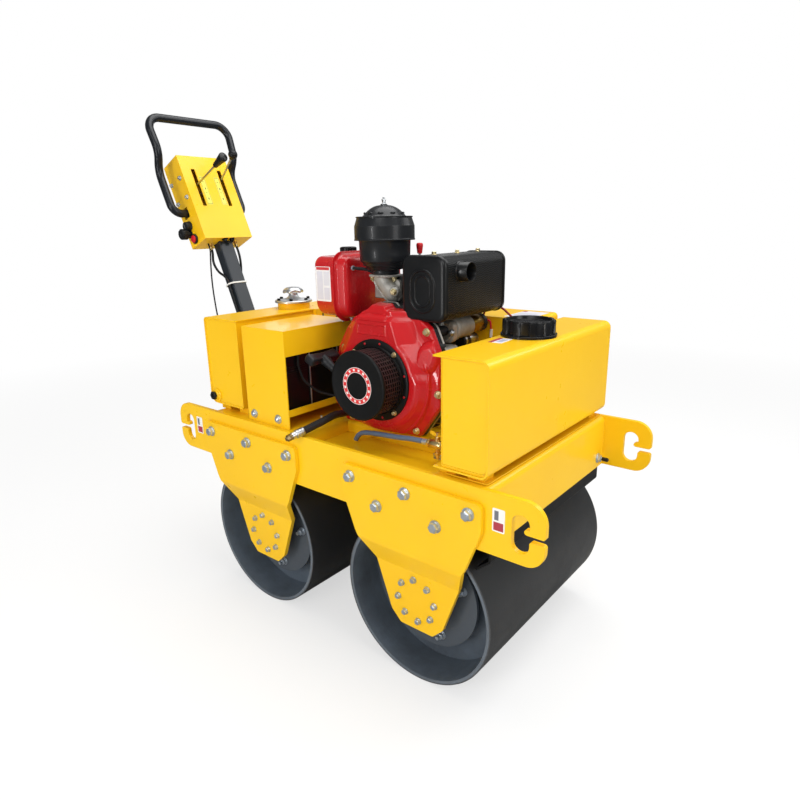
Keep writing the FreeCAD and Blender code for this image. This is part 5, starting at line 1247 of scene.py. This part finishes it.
# muffler: wrapped body, pressed end caps, tail pipe
lowMuffler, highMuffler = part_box("muffler")
muffler = {"front": 0.272, "corner": 0.026, "tail": (-0.089, 0.981), "beadCentre": (0.2065, 0.9375),
           "beads": ((0.0345, 0.0485, 0.0034), (0.0215, 0.036, 0.0028)),
           "strapX": 0.19, "straps": (-0.086, 0.013, 0.11)}
box = (lowMuffler.x, muffler["front"], lowMuffler.z, highMuffler.z)
stations = [(lowMuffler.y + 0.0125, 0.0028), (lowMuffler.y + 0.013, 0.0022), (highMuffler.y - 0.013, 0.0022),
            (highMuffler.y - 0.0125, 0.0028)]
keep("mufflerWrap", lofted(box, [muffler["corner"]] * 4, stations, "y", 10), meshWrap, 50)
capMeshes = []
inward = [(0, 0.013), (0.0004, 0.0085), (0.0022, 0.0035), (0.0052, 0.0008), (0.009, 0), (0.0138, 0),
          (0.0146, 0.0012), (0.0146, 0.004)]
for way, outer in ((1, lowMuffler.y), (-1, highMuffler.y)):
    capMeshes.append(lofted(box, [muffler["corner"]] * 4, [(outer + way * a, b) for a, b in inward], "y", 10))
beads = []
beadX, beadZ = muffler["beadCentre"]
for wide, high, radius in muffler["beads"]:
    loop = roundedLoop(-wide, wide, -high, high, [wide * 0.98] * 4, 12)
    beads.append(tube([(beadX + u, lowMuffler.y + 0.0004, beadZ + v) for u, v in loop], radius, 10, True))
tailProfile = [(0.0245, -0.004), (0.0245, -0.0006), (0.024, 0), (0.0227, 0.0004), (0.0225, 0.0012), (0.0225, 0.0266),
               (0.0222, 0.027), (0.0203, 0.027), (0.02, 0.0266), (0.02, -0.012)]
tail = spun(tailProfile, facing((muffler["front"], *muffler["tail"]), (1, 0, 0)), 64)
mufflerCaps = keep("mufflerCaps", joined(capMeshes + beads + [tail]), mufflerBlack, 50)
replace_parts(mufflerCaps, "muffler")
spots = [((muffler["strapX"], y, highMuffler.z - 0.0028), (0, 0, 1)) for y in muffler["straps"]]
fasteners("mufflerStraps", spots, yellowZinc)

# electric starter, solenoid and its red lead
# places along Y are from the near end of its axis, the leads' from the far end
lowStarter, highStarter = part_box("starter_motor")
startX, _, startZ = middle("starter_motor")
nearY, farY = lowStarter.y, highStarter.y
starter = {"disc": 0.086, "can": 0.165, "ends": 0.22, "relay": (-0.002, -0.04), "relayFoot": 0.14, "relayCan": 0.171,
           "relayClamp": 0.147, "mountBolts": ((-0.0085, 0.015), (0.023, -0.004)),
           "terminals": ((0.01, 0.006), (-0.009, 0.01)),
           "ribs": ((0.004, 0.013, -0.01, -0.02), (0.019, -0.012, 0.004, -0.026), (0, 0.019, 0.016, 0.016)),
           "dropLead": ((0.01, 0.002, 0.006), (0.024, 0.004, 0.002), (0.026, 0.006, -0.03), (0.024, 0.004, -0.075)),
           "lead": ((0.006, -0.002, 0.02), (0.014, -0.001, 0.04), (0.055, 0, 0.046))}


def onStarter(x, y, z, base=None):  # from the axis, forwards, along it and up
    return startX + x, (nearY if base is None else base) + y, startZ + z


def alongStarter(y, x=0, z=0):  # the same as a place to spin about
    return facing(onStarter(x, y, z), (0, 1, 0))


relayX, relayZ = starter["relay"]
pinion = spun([(0, 0), (0.011, 0), (0.013, 0.003), (0.013, 0.08), (0, 0.08)], alongStarter(0), 32)
keep("starterPinion", pinion, darkCasting, 40)
face = lofted((startX - 0.0235, startX + 0.0265, startZ - 0.031, startZ + 0.0225), [0.015] * 4,
              [(nearY + 0.066, 0.004), (nearY + 0.068, 0), (nearY + 0.084, 0), (nearY + 0.086, 0.002)], "y")
ribs = [tube([onStarter(x0, 0.0655, z0), onStarter(x1, 0.0655, z1)], 0.0026, 10)
        for x0, z0, x1, z1 in starter["ribs"]]
keep("starterFace", joined([face] + ribs), darkAlloy, 40)
lug = lofted((startX - 0.016, startX + 0.042, startZ - 0.062, startZ - 0.0335), [0.01] * 4,
             [(nearY + 0.001, 0.003), (nearY + 0.003, 0), (nearY + 0.066, 0), (nearY + 0.07, 0.003)], "y")
keep("crankcaseLug", lug, castAlloy, 40)
disc = spun([(0, 0), (0.0275, 0), (0.03, 0.0015), (0.031, 0.004), (0.031, 0.016), (0.0298, 0.018), (0.028, 0.0185),
             (0.028, 0.078), (0.0272, 0.0795), (0.0245, 0.08)], alongStarter(starter["disc"]), 64)
keep("starterNose", disc, castAlloy, 40)
can = spun([(0.0225, 0), (0.0235, 0.001), (0.0235, 0.054), (0.0228, 0.055)], alongStarter(starter["can"]), 64)
canBody = keep("starterCan", can, goldCan, 45)
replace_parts(canBody, "starter_motor")
band = spun([(0.0228, -0.001), (0.0246, 0), (0.0246, 0.004), (0.0238, 0.005), (0.0238, 0.008), (0.0246, 0.009),
             (0.0246, 0.013), (0.022, 0.0145), (0.013, 0.0155), (0.0125, 0.022), (0, 0.022)],
            alongStarter(starter["ends"]), 48)
relay = spun([(0.0145, 0), (0.0155, 0.001), (0.0155, 0.03), (0.0145, 0.031), (0, 0.031)],
             alongStarter(starter["relayFoot"], relayX, relayZ), 40)
keep("starterEnds", joined([band, relay]), plastic, 45)
relayCan = spun([(0, -0.0005), (0.0148, 0), (0.015, 0.001), (0.015, 0.036), (0.014, 0.037), (0, 0.037)],
                alongStarter(starter["relayCan"], relayX, relayZ), 40)
clampRing = spun([(0.0157, 0), (0.0168, 0), (0.0168, 0.006), (0.0157, 0.006)],
                 alongStarter(starter["relayClamp"], relayX, relayZ), 40)
keep("relayCan", joined([relayCan, clampRing]), steel, 45)
spots = [(onStarter(x, 0.0662, z), (0, -1, 0)) for x, z in starter["mountBolts"]]
fasteners("starterMountBolts", spots, steel)
terminals = [(onStarter(x, -0.004, z, base=farY), (0, 1, 0)) for x, z in starter["terminals"]]
fasteners("starterTerminals", terminals, brass)
dropLine = bent([onStarter(*place, base=farY) for place in starter["dropLead"]], [0, 0.008, 0.02, 0], 6)
keep("starterDropLead", tube(dropLine, 0.0026, 12), redPlastic, 60)
sleeve = tube([onStarter(0.0262, 0.0055, -0.02, base=farY), onStarter(0.0255, 0.0053, -0.042, base=farY)], 0.0042, 12)
keep("leadSleeve", sleeve, nylon, 60)
leadLine = [onStarter(*place, base=farY) for place in starter["lead"]]
leadLine += [(startX + 0.098, 0.1285, startZ + 0.01), (startX + 0.106, 0.1285, startZ - 0.04),
             (startX + 0.106, 0.1285, 0.7), (startX + 0.09, 0.1275, 0.6)]
leadLine = bent(leadLine, [0, 0.02, 0.04, 0.03, 0.04, 0.05, 0], 8)
leadRed = softFinish("leadRed", tone("8E1418"), tone("6E0E12"), 0.4, 300.0, 0.0001)
keep("starterLead", tube(leadLine, 0.0028, 12), leadRed, 60)
print("engine dressed")

# battery box: dome and lip bolts, battery rods, lid ribs and leads
lowBox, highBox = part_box("battery_box")
lowBattery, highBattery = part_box("battery")
battery = {"nearDomes": ((-0.275, 0.588), (-0.174, 0.59)), "farDomes": ((-0.15, 0.588), (-0.275, 0.588)),
           "lipBolts": (-0.194, -0.1), "lipOut": 0.012, "lipZ": 0.567,
           "rods": (-0.206, -0.1), "rodOut": 0.0035, "rodEnds": (0.6045, 0.762), "rodRadius": 0.0022,
           "ribs": (0.728, 0.716), "leadRadius": 0.0034,
           "lead": [(0.004, -0.246, 0.7635), (0.006, -0.25, 0.735), (0.009, -0.236, 0.69), (0.03, -0.205, 0.655),
                    (0.06, -0.17, 0.64)],
           "leadEnd": [(-0.06, -0.125, 0.64), (-0.014, -0.105, 0.648)],
           "leadBends": [0, 0.03, 0.05, 0.06, 0.06, 0.05, 0],
           "redLead": [(-0.262, -0.082, 0.782), (-0.225, -0.078, 0.796), (-0.165, -0.068, 0.784),
                       (-0.14, -0.06, 0.748), (-0.138, -0.058, 0.64)], "redBends": [0, 0.015, 0.03, 0.02, 0]}
spots = [((x, lowBox.y, z), (0, -1, 0)) for x, z in battery["nearDomes"]]
spots += [((x, highBox.y, z), (0, 1, 0)) for x, z in battery["farDomes"]]
fasteners("boxDomes", spots, zinc, dome=True)
spots = [((highBox.x + battery["lipOut"], y, battery["lipZ"]), (0, 0, 1)) for y in battery["lipBolts"]]
fasteners("lipBolts", spots, zinc)
rodX = highBattery.x + battery["rodOut"]
rods = [tube([(rodX, y, z) for z in battery["rodEnds"]], battery["rodRadius"], 12) for y in battery["rods"]]
clamp = lofted((lowBattery.x + 0.02, highBattery.x + 0.006, -0.212, -0.2), [0.003] * 4,
               [(highBattery.z - 0.0138, 0), (highBattery.z - 0.0108, 0)], "z", 3)
keep("batteryRods", joined(rods + [clamp]), steel, 45)
ribBox = (lowBattery.x - 0.0004, highBattery.x + 0.0012, lowBattery.y - 0.0008, highBattery.y + 0.0008)
lipLines = [lofted(ribBox, [0.006] * 4, [(z, 0.0006), (z + 0.0008, 0), (z + 0.004, 0), (z + 0.0048, 0.0006)], "z", 5)
            for z in battery["ribs"]]
keep("batteryLid", joined(lipLines), batteryCase)
leadLine = [(highBattery.x + x, y, z) for x, y, z in battery["lead"]] + battery["leadEnd"]
leadLine = bent(leadLine, battery["leadBends"], 8)
keep("batteryLead", tube(leadLine, battery["leadRadius"], 12), rubber, 60)
redLine = bent(battery["redLead"], battery["redBends"], 6)
keep("batteryRedLead", tube(redLine, battery["leadRadius"], 12), redPlastic, 60)

# drain cock: ball valve, butterfly handle, tail
lowValve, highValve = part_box("drain_valve")
valve = {"centre": (0.286, -0.205, 0.588), "feedY": -0.06, "feedX": 0.1755, "feedBend": 0.014, "feedRadius": 0.007,
         "hexes": ((-0.0215, -1), (0.012, 1)), "wing": 0.0208, "wingDrop": 0.0145}
centre = Vector(valve["centre"])
along = Vector((1, 0, 0))
ball = spun([(0, -0.0295), (0.0066, -0.0295), (0.0082, -0.029), (0.0082, -0.0215), (0.0095, -0.0205),
             (0.0108, -0.012), (0.0112, 0), (0.0108, 0.008), (0.0098, 0.0115), (0, 0.0118)],
            facing(centre, along), 36)
neck = spun([(0.0065, 0.004), (0.0065, 0.02), (0.0048, 0.021), (0.0048, 0.0305)], Matrix.Translation(centre), 24)
feedLine = [centre, (centre.x, valve["feedY"], centre.z), (valve["feedX"], valve["feedY"], centre.z)]
feed = tube(bent(feedLine, [0, valve["feedBend"], 0], 8), valve["feedRadius"], 18)
tail = spun([(0.0058, -0.006), (0.0058, -0.018), (0.0078, -0.0185), (0.0078, -0.0245), (0.0052, -0.025),
             (0.0046, -0.0355), (0, -0.0358)],
            Matrix.Translation(centre), 24)
cock = keep("drainCock", joined([ball, neck, feed, tail]), brass, 45)
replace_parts(cock, "drain_valve")
hexes = [(centre + along * x, along * way) for x, way in valve["hexes"]]
fasteners("valveHexes", hexes, brass)


def butterflyShape(work):  # two raised wings on a flat bar
    rows = []
    for k in range(25):
        share = k / 12 - 1
        wide = 0.0042 + 0.003 * abs(share) ** 0.7
        rise = 0.0025 + 0.0105 * max(0, abs(share) - 0.25) ** 1.1
        rows.append([work.verts.new((share * valve["wing"], side * wide * (1 - 0.75 * abs(share) ** 9), rise + lift))
                     for side, lift in ((-1, 0), (1, 0), (1, 0.0017), (-1, 0.0017))])
    skin(work, rows)


butterfly = meshed(butterflyShape, Matrix.Translation((centre.x, centre.y, highValve.z - valve["wingDrop"])))
keep("valveButterfly", butterfly, yellow, 30)
tailWing = lofted((centre.x - 0.013, centre.x + 0.013, centre.y - 0.0012, centre.y + 0.0012), [0.001] * 4,
                  [(lowValve.z + 0.0006, 0.004), (lowValve.z + 0.003, 0.0006), (lowValve.z + 0.011, 0),
                   (lowValve.z + 0.0125, 0.001)], "z", 3)
keep("valveTailWing", tailWing, steel, 30)

# hoses
hoses = {  # control points in millimetres
    "drain": {"points": [(256, -205, 588), (214, -205, 588), (171, -205.5, 582), (125, -205, 579), (82, -205.5, 576),
                         (48, -205, 571), (29, -206, 560), (22.5, -207, 546)], "radius": 0.0065},
    "oil": {"points": [(-55, -150, 596), (-55, -178, 596), (-46, -210, 605), (-50, -262, 594), (-63, -312, 582)],
            "radius": 0.01}}


def hoseLine(name, points, radius, resolution):
    curve = bpy.data.curves.new(name, "CURVE")
    curve.dimensions, curve.resolution_u = "3D", resolution
    curve.bevel_depth, curve.bevel_resolution, curve.use_fill_caps = radius, 6, True
    spline = curve.splines.new("NURBS")
    spline.points.add(len(points) - 1)
    for k, point in enumerate(points):
        spline.points[k].co = tuple(c * mm for c in point) + (1.0,)
    spline.order_u = 3
    spline.use_endpoint_u = True
    return bpy.data.objects.new(name, curve)


def hose(name, kind, material):
    piece = hoseLine(name, hoses[kind]["points"], hoses[kind]["radius"], 16)
    piece.data.materials.append(material)
    scene.collection.objects.link(piece)
    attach(piece, "chassis")
    return piece


def hoseLength(kind):  # along the middle of the hose, from a copy with no thickness
    holder = hoseLine("probe", hoses[kind]["points"], 0, 32)
    line = [v.co.copy() for v in bpy.data.meshes.new_from_object(holder).vertices]
    bpy.data.objects.remove(holder)
    return sum((b - a).length for a, b in zip(line, line[1:]))


drain = hose("drainHoseLine", "drain", slateHose)
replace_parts(drain, "drain_hose")
drainExit = tuple(c * mm for c in hoses["drain"]["points"][0])
nut = spun([(0.0066, -0.014), (0.0074, -0.013), (0.0074, -0.002), (0.0066, -0.001)],
           facing(drainExit, (1, 0, 0)), 28)
keep("drainHoseCollar", nut, zinc)
hoseLength("drain")
oilHose = hose("oilHoseLine", "oil", blackHose)
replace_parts(oilHose, "oil_drain_hose")
oilExit, beforeEnd, hoseEnd = (Vector(hoses["oil"]["points"][k]) * mm for k in (0, -2, -1))
way = (hoseEnd - beforeEnd).normalized()
ferrule = spun([(0.0102, -0.001), (0.0112, 0), (0.0115, 0.002), (0.0115, 0.005), (0.0106, 0.0062), (0.0106, 0.0085),
                (0.0115, 0.0097), (0.0115, 0.0135), (0.0106, 0.0147), (0.0106, 0.017), (0.0115, 0.0182),
                (0.0115, 0.022), (0.0098, 0.0235), (0.0098, 0.034), (0.006, 0.0345)],
               facing(hoseEnd, way), 40)
ferrulePiece = keep("hoseFerrule", ferrule, steel, 35)
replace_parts(ferrulePiece, "oil_hose_fitting")
plugPiece = fasteners("hosePlug", [(hoseEnd + way * 0.0342, way)], bronze)
hoseLength("oil")

# handle: everything on the control box is placed from its panel's lower corner, in millimetres up, across and out
panel = {"corner": Vector((-0.735, 0, 1.058)), "lean": math.radians(24.3), "side": 95,
         "pivot": (190, -62), "levers": 51, "ball": (249, 51, 100.5), "rodRadius": 0.0036, "gripRod": 0.182,
         "gripFoot": 0.179, "slot": (116, 244), "slotHalf": 7.3, "slotDeep": (-3.4, -6.0),
         "scales": (("scaleRight", -38), ("scaleLeft", 19)), "scaleFoot": 119, "scaleSize": (0.021, 0.1),
         "key": (70, -61), "knob": (47, -72), "stop": (22, -54),
         "sideBolts": ((222, -21), (224, -79), (154, -19), (156, -79)),
         "floorBolts": (-14, 14), "glands": ((-44, -58), (45, -38))}
panelUp = Vector((-math.sin(panel["lean"]), 0, math.cos(panel["lean"])))
panelOut = Vector((math.cos(panel["lean"]), 0, math.sin(panel["lean"])))


def onPanel(up, across, out):
    return panel["corner"] + panelUp * up * mm + Vector((0, across * mm, 0)) + panelOut * out * mm


# travel levers: steel rods, a tapered grip and a ball
gripWay = (panelOut + panelUp * 0.02).normalized()
pivotUp, pivotOut = panel["pivot"]
gripBase, ballBase = (onPanel(pivotUp, side * panel["levers"], pivotOut) for side in (-1, 1))
ballCentre = onPanel(*panel["ball"])
ballWay = (ballCentre - ballBase).normalized()
pivotRod = spun([(0.006, -0.0917), (0.006, 0.0917)], facing(onPanel(pivotUp, 0, pivotOut), (0, 1, 0)), 20)
rodA, rodB = (spun([(panel["rodRadius"], 0), (panel["rodRadius"], long)], facing(foot, aim), 18)
              for foot, aim, long in ((gripBase, gripWay, panel["gripRod"]),
                                      (ballBase, ballWay, (ballCentre - ballBase).length - 0.01)))
rods = keep("leverRods", joined([pivotRod, rodA, rodB]), steel, 50, body="handle")
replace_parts(rods, "travel_levers")
taper = [(0.0066, 0), (0.0083, 0.0012), (0.0087, 0.005), (0.0107, 0.022), (0.0132, 0.041), (0.0147, 0.051),
         (0.0149, 0.054), (0.0143, 0.056), (0.0128, 0.0571), (0, 0.058)]
gripKnob = spun(taper, facing(gripBase + gripWay * panel["gripFoot"], gripWay), 40)
ballProfile = [(0.0055, -0.0175), (0.0062, -0.0172), (0.0062, -0.0138)]
ballProfile += [circle(0.0155, angle) for angle in range(-64, 91, 11)] + [(0, 0.0155)]
ballKnob = spun(ballProfile, facing(ballCentre, ballWay), 40)
keep("leverKnobs", joined([gripKnob, ballKnob]), capPlastic, 50, body="handle")
# dark matte walls inside the lever slots: painted shade standing for the dark inside of the box
slotShadeWall = []
slotLow, slotHigh = panel["slot"]
for across in (-panel["levers"], panel["levers"]):
    left, right = across - panel["slotHalf"], across + panel["slotHalf"]

    def slotShadeShape(work):
        corners = ((slotLow, left), (slotLow, right), (slotHigh, right), (slotHigh, left))
        bridge(work, [[work.verts.new(onPanel(up, along, out)) for up, along in corners]
                      for out in panel["slotDeep"]])
    slotShadeWall.append(meshed(slotShadeShape))
keep("slotLiners", joined(slotShadeWall), slotShadeFinish, 0, body="handle")
scaleInk, scaleMark = tone("9A951F"), tone("2A2A18")
scaleZones = [(0.05, 0.02, 0.95, 0.98, scaleInk), (0.13, 0.04, 0.87, 0.96, tone("E9E04A")),
              (0.42, 0.18, 0.6, 0.25, scaleMark), (0.36, 0.42, 0.64, 0.45, scaleInk),
              (0.42, 0.54, 0.6, 0.61, scaleMark), (0.36, 0.8, 0.64, 0.83, scaleInk)]
scalePrint = printFinish("leverScalePrint", tone("E6DC3A"), scaleZones)
for name, across in panel["scales"]:
    sheetOn(name, onPanel(panel["scaleFoot"], across, 0.05), (0, 1, 0), panelUp, panel["scaleSize"], 0.003,
            scalePrint, body="handle")

# switches: key switch, knob and stop button on the right side; bolts on both
side = Vector((0, -1, 0))
keyCentre, knobCentre, stopCentre = (onPanel(up, -panel["side"], out)
                                     for up, out in (panel["key"], panel["knob"], panel["stop"]))
keyProfile = [(0.0165, 0), (0.0165, 0.004), (0.0148, 0.005), (0.0145, 0.016), (0.0135, 0.0185),
              (0.0105, 0.0195), (0, 0.0195)]
keyBody = spun(keyProfile, facing(keyCentre, side), 40)
knobBody = spun([(0.0135, 0), (0.0135, 0.003), (0.0085, 0.004), (0.0085, 0.012), (0.0155, 0.0135), (0.0165, 0.016),
                 (0.0165, 0.034), (0.0148, 0.0365), (0, 0.0368)],
                facing(knobCentre, side), 40)
ribSizes = {"Radius": 0.0165, "Length": 0.018, "Bars": 14, "Bar Width": 0.003, "Bar Depth": 0.0022, "Rings": 2,
            "Ring Height": 0.001, "Material": plastic}
knobRibs = grown("cage", ribSizes, None, facing(knobCentre + side * 0.0248, side))
stopRing = spun([(0.0155, 0), (0.016, 0.001), (0.016, 0.005), (0.0145, 0.0068), (0.0122, 0.007), (0.0122, 0)],
                facing(stopCentre, side), 40)
pointer = lofted((-0.0022, 0.0022, -0.0125, 0.0125), [0.002] * 4, [(0.036, 0), (0.0398, 0.0004)], "z", 3)
pointer.transform(facing(knobCentre, side, 0.7))
switches = joined([keyBody, knobBody, knobRibs, stopRing, pointer])
switchBody = keep("switchBodies", switches, plastic, 40, body="handle")
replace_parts(switchBody, "panel_switches")
stopCap = spun([(0.012, 0.002), (0.0121, 0.0085), (0.0112, 0.0105), (0.0075, 0.0118), (0, 0.0121)],
               facing(stopCentre, side), 40)
keep("stopCap", stopCap, redPlastic, 50, body="handle")
blade = lofted((-0.0011, 0.0011, -0.0075, 0.0075), [0.001] * 4, [(0.019, 0), (0.0212, 0)], "z", 3)
blade.transform(facing(keyCentre, side, 0.5))
keep("keyBlade", blade, steel, body="handle")
spots = [(onPanel(up, way * panel["side"], out), (0, way, 0)) for way in (-1, 1) for up, out in panel["sideBolts"]]
fasteners("panelBolts", spots, zinc, body="handle")
spots = [(onPanel(-0.2, across, -10), -panelUp) for across in panel["floorBolts"]]
fasteners("floorBolts", spots, satinBlack, body="handle")
glandProfile = [(0.0062, 0), (0.0062, 0.005), (0.0048, 0.006), (0.0048, 0.01), (0.0058, 0.0108), (0.0058, 0.0145),
                (0.0048, 0.0155), (0.0045, 0.018)]
glands = [spun(glandProfile, facing(onPanel(-0.2, across, out), -panelUp), 24) for across, out in panel["glands"]]
keep("cableGlands", joined(glands), brass, 45, body="handle")
print("handle dressed")

# drive guard's bolts, fold pin's nuts on the handle's foot
farSide = {"boltInset": 0.03, "boltZ": (0.6, 0.8), "foldX": -0.555, "foldZ": 0.506, "foldInset": 0.002}
spots = [((x, guardHigh.y, z), (0, 1, 0))
         for x in (guardLow.x + farSide["boltInset"], guardHigh.x - farSide["boltInset"]) for z in farSide["boltZ"]]
fasteners("guardBolts", spots, zinc)
footLow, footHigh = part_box("handle_foot")
spots = [((farSide["foldX"], y - way * farSide["foldInset"], farSide["foldZ"]), (0, way, 0))
         for y, way in ((footLow.y, -1), (footHigh.y, 1))]
fasteners("foldPinNuts", spots, zinc)

# studio
studio = {"floor": tone("F6F6F5"), "cloud": tone("ECECEB"), "dark": tone("1C1C1C"), "sky": 0.5, "mirror": 0.2,
          "dim": 0.75, "reach": 60, "glow": 0.62, "fade": (0.9, 4.5), "lamps": {  # place, aim, size, power
              "keyLight": ((1.3, -3.1, 2.7), (0, 0, 0.6), (2.2, 1.4), 30),
              "stripLight": ((-0.34, -3.35, 0.95), (0.15, -0.18, 0.8), (0.15, 1.8), 27),
              "sideLight": ((3.3, -0.5, 1.8), (0.2, 0, 0.6), (1.2, 1.8), 30),
              "topLight": ((0.2, 0.4, 3.3), (0, 0, 0.6), (2.8, 2.2), 68),
              "panelSheen": ((1.5, 2.1, 2.75), (-0.75, 0, 1.2), (1.6, 1.6), 20),
              "backSheen": ((-2.1, 2.2, 1.6), (0.2, 0, 0.8), (1.6, 0.7), 4)}}
data = bpy.data.meshes.new("floor")
reach = studio["reach"]
data.from_pydata([(-reach, -reach, 0), (reach, -reach, 0), (reach, reach, 0), (-reach, reach, 0)], [], [(0, 1, 2, 3)])
floor = bpy.data.objects.new("floor", data)
scene.collection.objects.link(floor)
f = Finish("paleFloor")
path = f.add("ShaderNodeLightPath")
seen = Wire(f.graph, path.socket.node.outputs["Is Camera Ray"])
mirrored = Wire(f.graph, path.socket.node.outputs["Is Glossy Ray"])
pale = f.mix(f.noise(0.7) * 0.1, studio["floor"], studio["cloud"])
plain = f.add("ShaderNodeBsdfDiffuse", {}, {"Color": f.mix(mirrored * studio["dim"], pale, studio["dark"])})
glow = f.add("ShaderNodeEmission", {}, {"Color": (1, 1, 1, 1), "Strength": 1.0})
x, y, z = f.axes()
far = f.band((x * x + y * y) ** 0.5, *studio["fade"])
both = f.add("ShaderNodeMixShader", {}, {0: seen * (studio["glow"] + far * (1 - studio["glow"])), 1: plain, 2: glow})
f.add("ShaderNodeOutputMaterial", {}, {"Surface": both})
data.materials.append(f.material)
world = bpy.data.worlds.new("studioSky")
scene.world = world
world.use_nodes = True
world.node_tree.nodes.clear()
g = Graph(world.node_tree)
path = g.add("ShaderNodeLightPath").socket.node.outputs
camera, mirror = Wire(g, path["Is Camera Ray"]), Wire(g, path["Is Glossy Ray"])
strength = camera + (1.0 - camera) * (studio["sky"] - mirror * (studio["sky"] - studio["mirror"]))
sky = g.add("ShaderNodeBackground", {}, {"Color": (1, 1, 1, 1), "Strength": strength})
g.add("ShaderNodeOutputWorld", {}, {"Surface": sky})
for name, lamp in studio["lamps"].items():
    softbox(name, *lamp)
placeCamera()
scene.view_settings.view_transform = "Standard"
meshes = [(len(piece.data.polygons), piece.name) for piece in bpy.data.objects if piece.type == "MESH"]
print("studio made:", len(meshes), "meshes,", sum(count for count, name in meshes), "faces, most in", max(meshes))
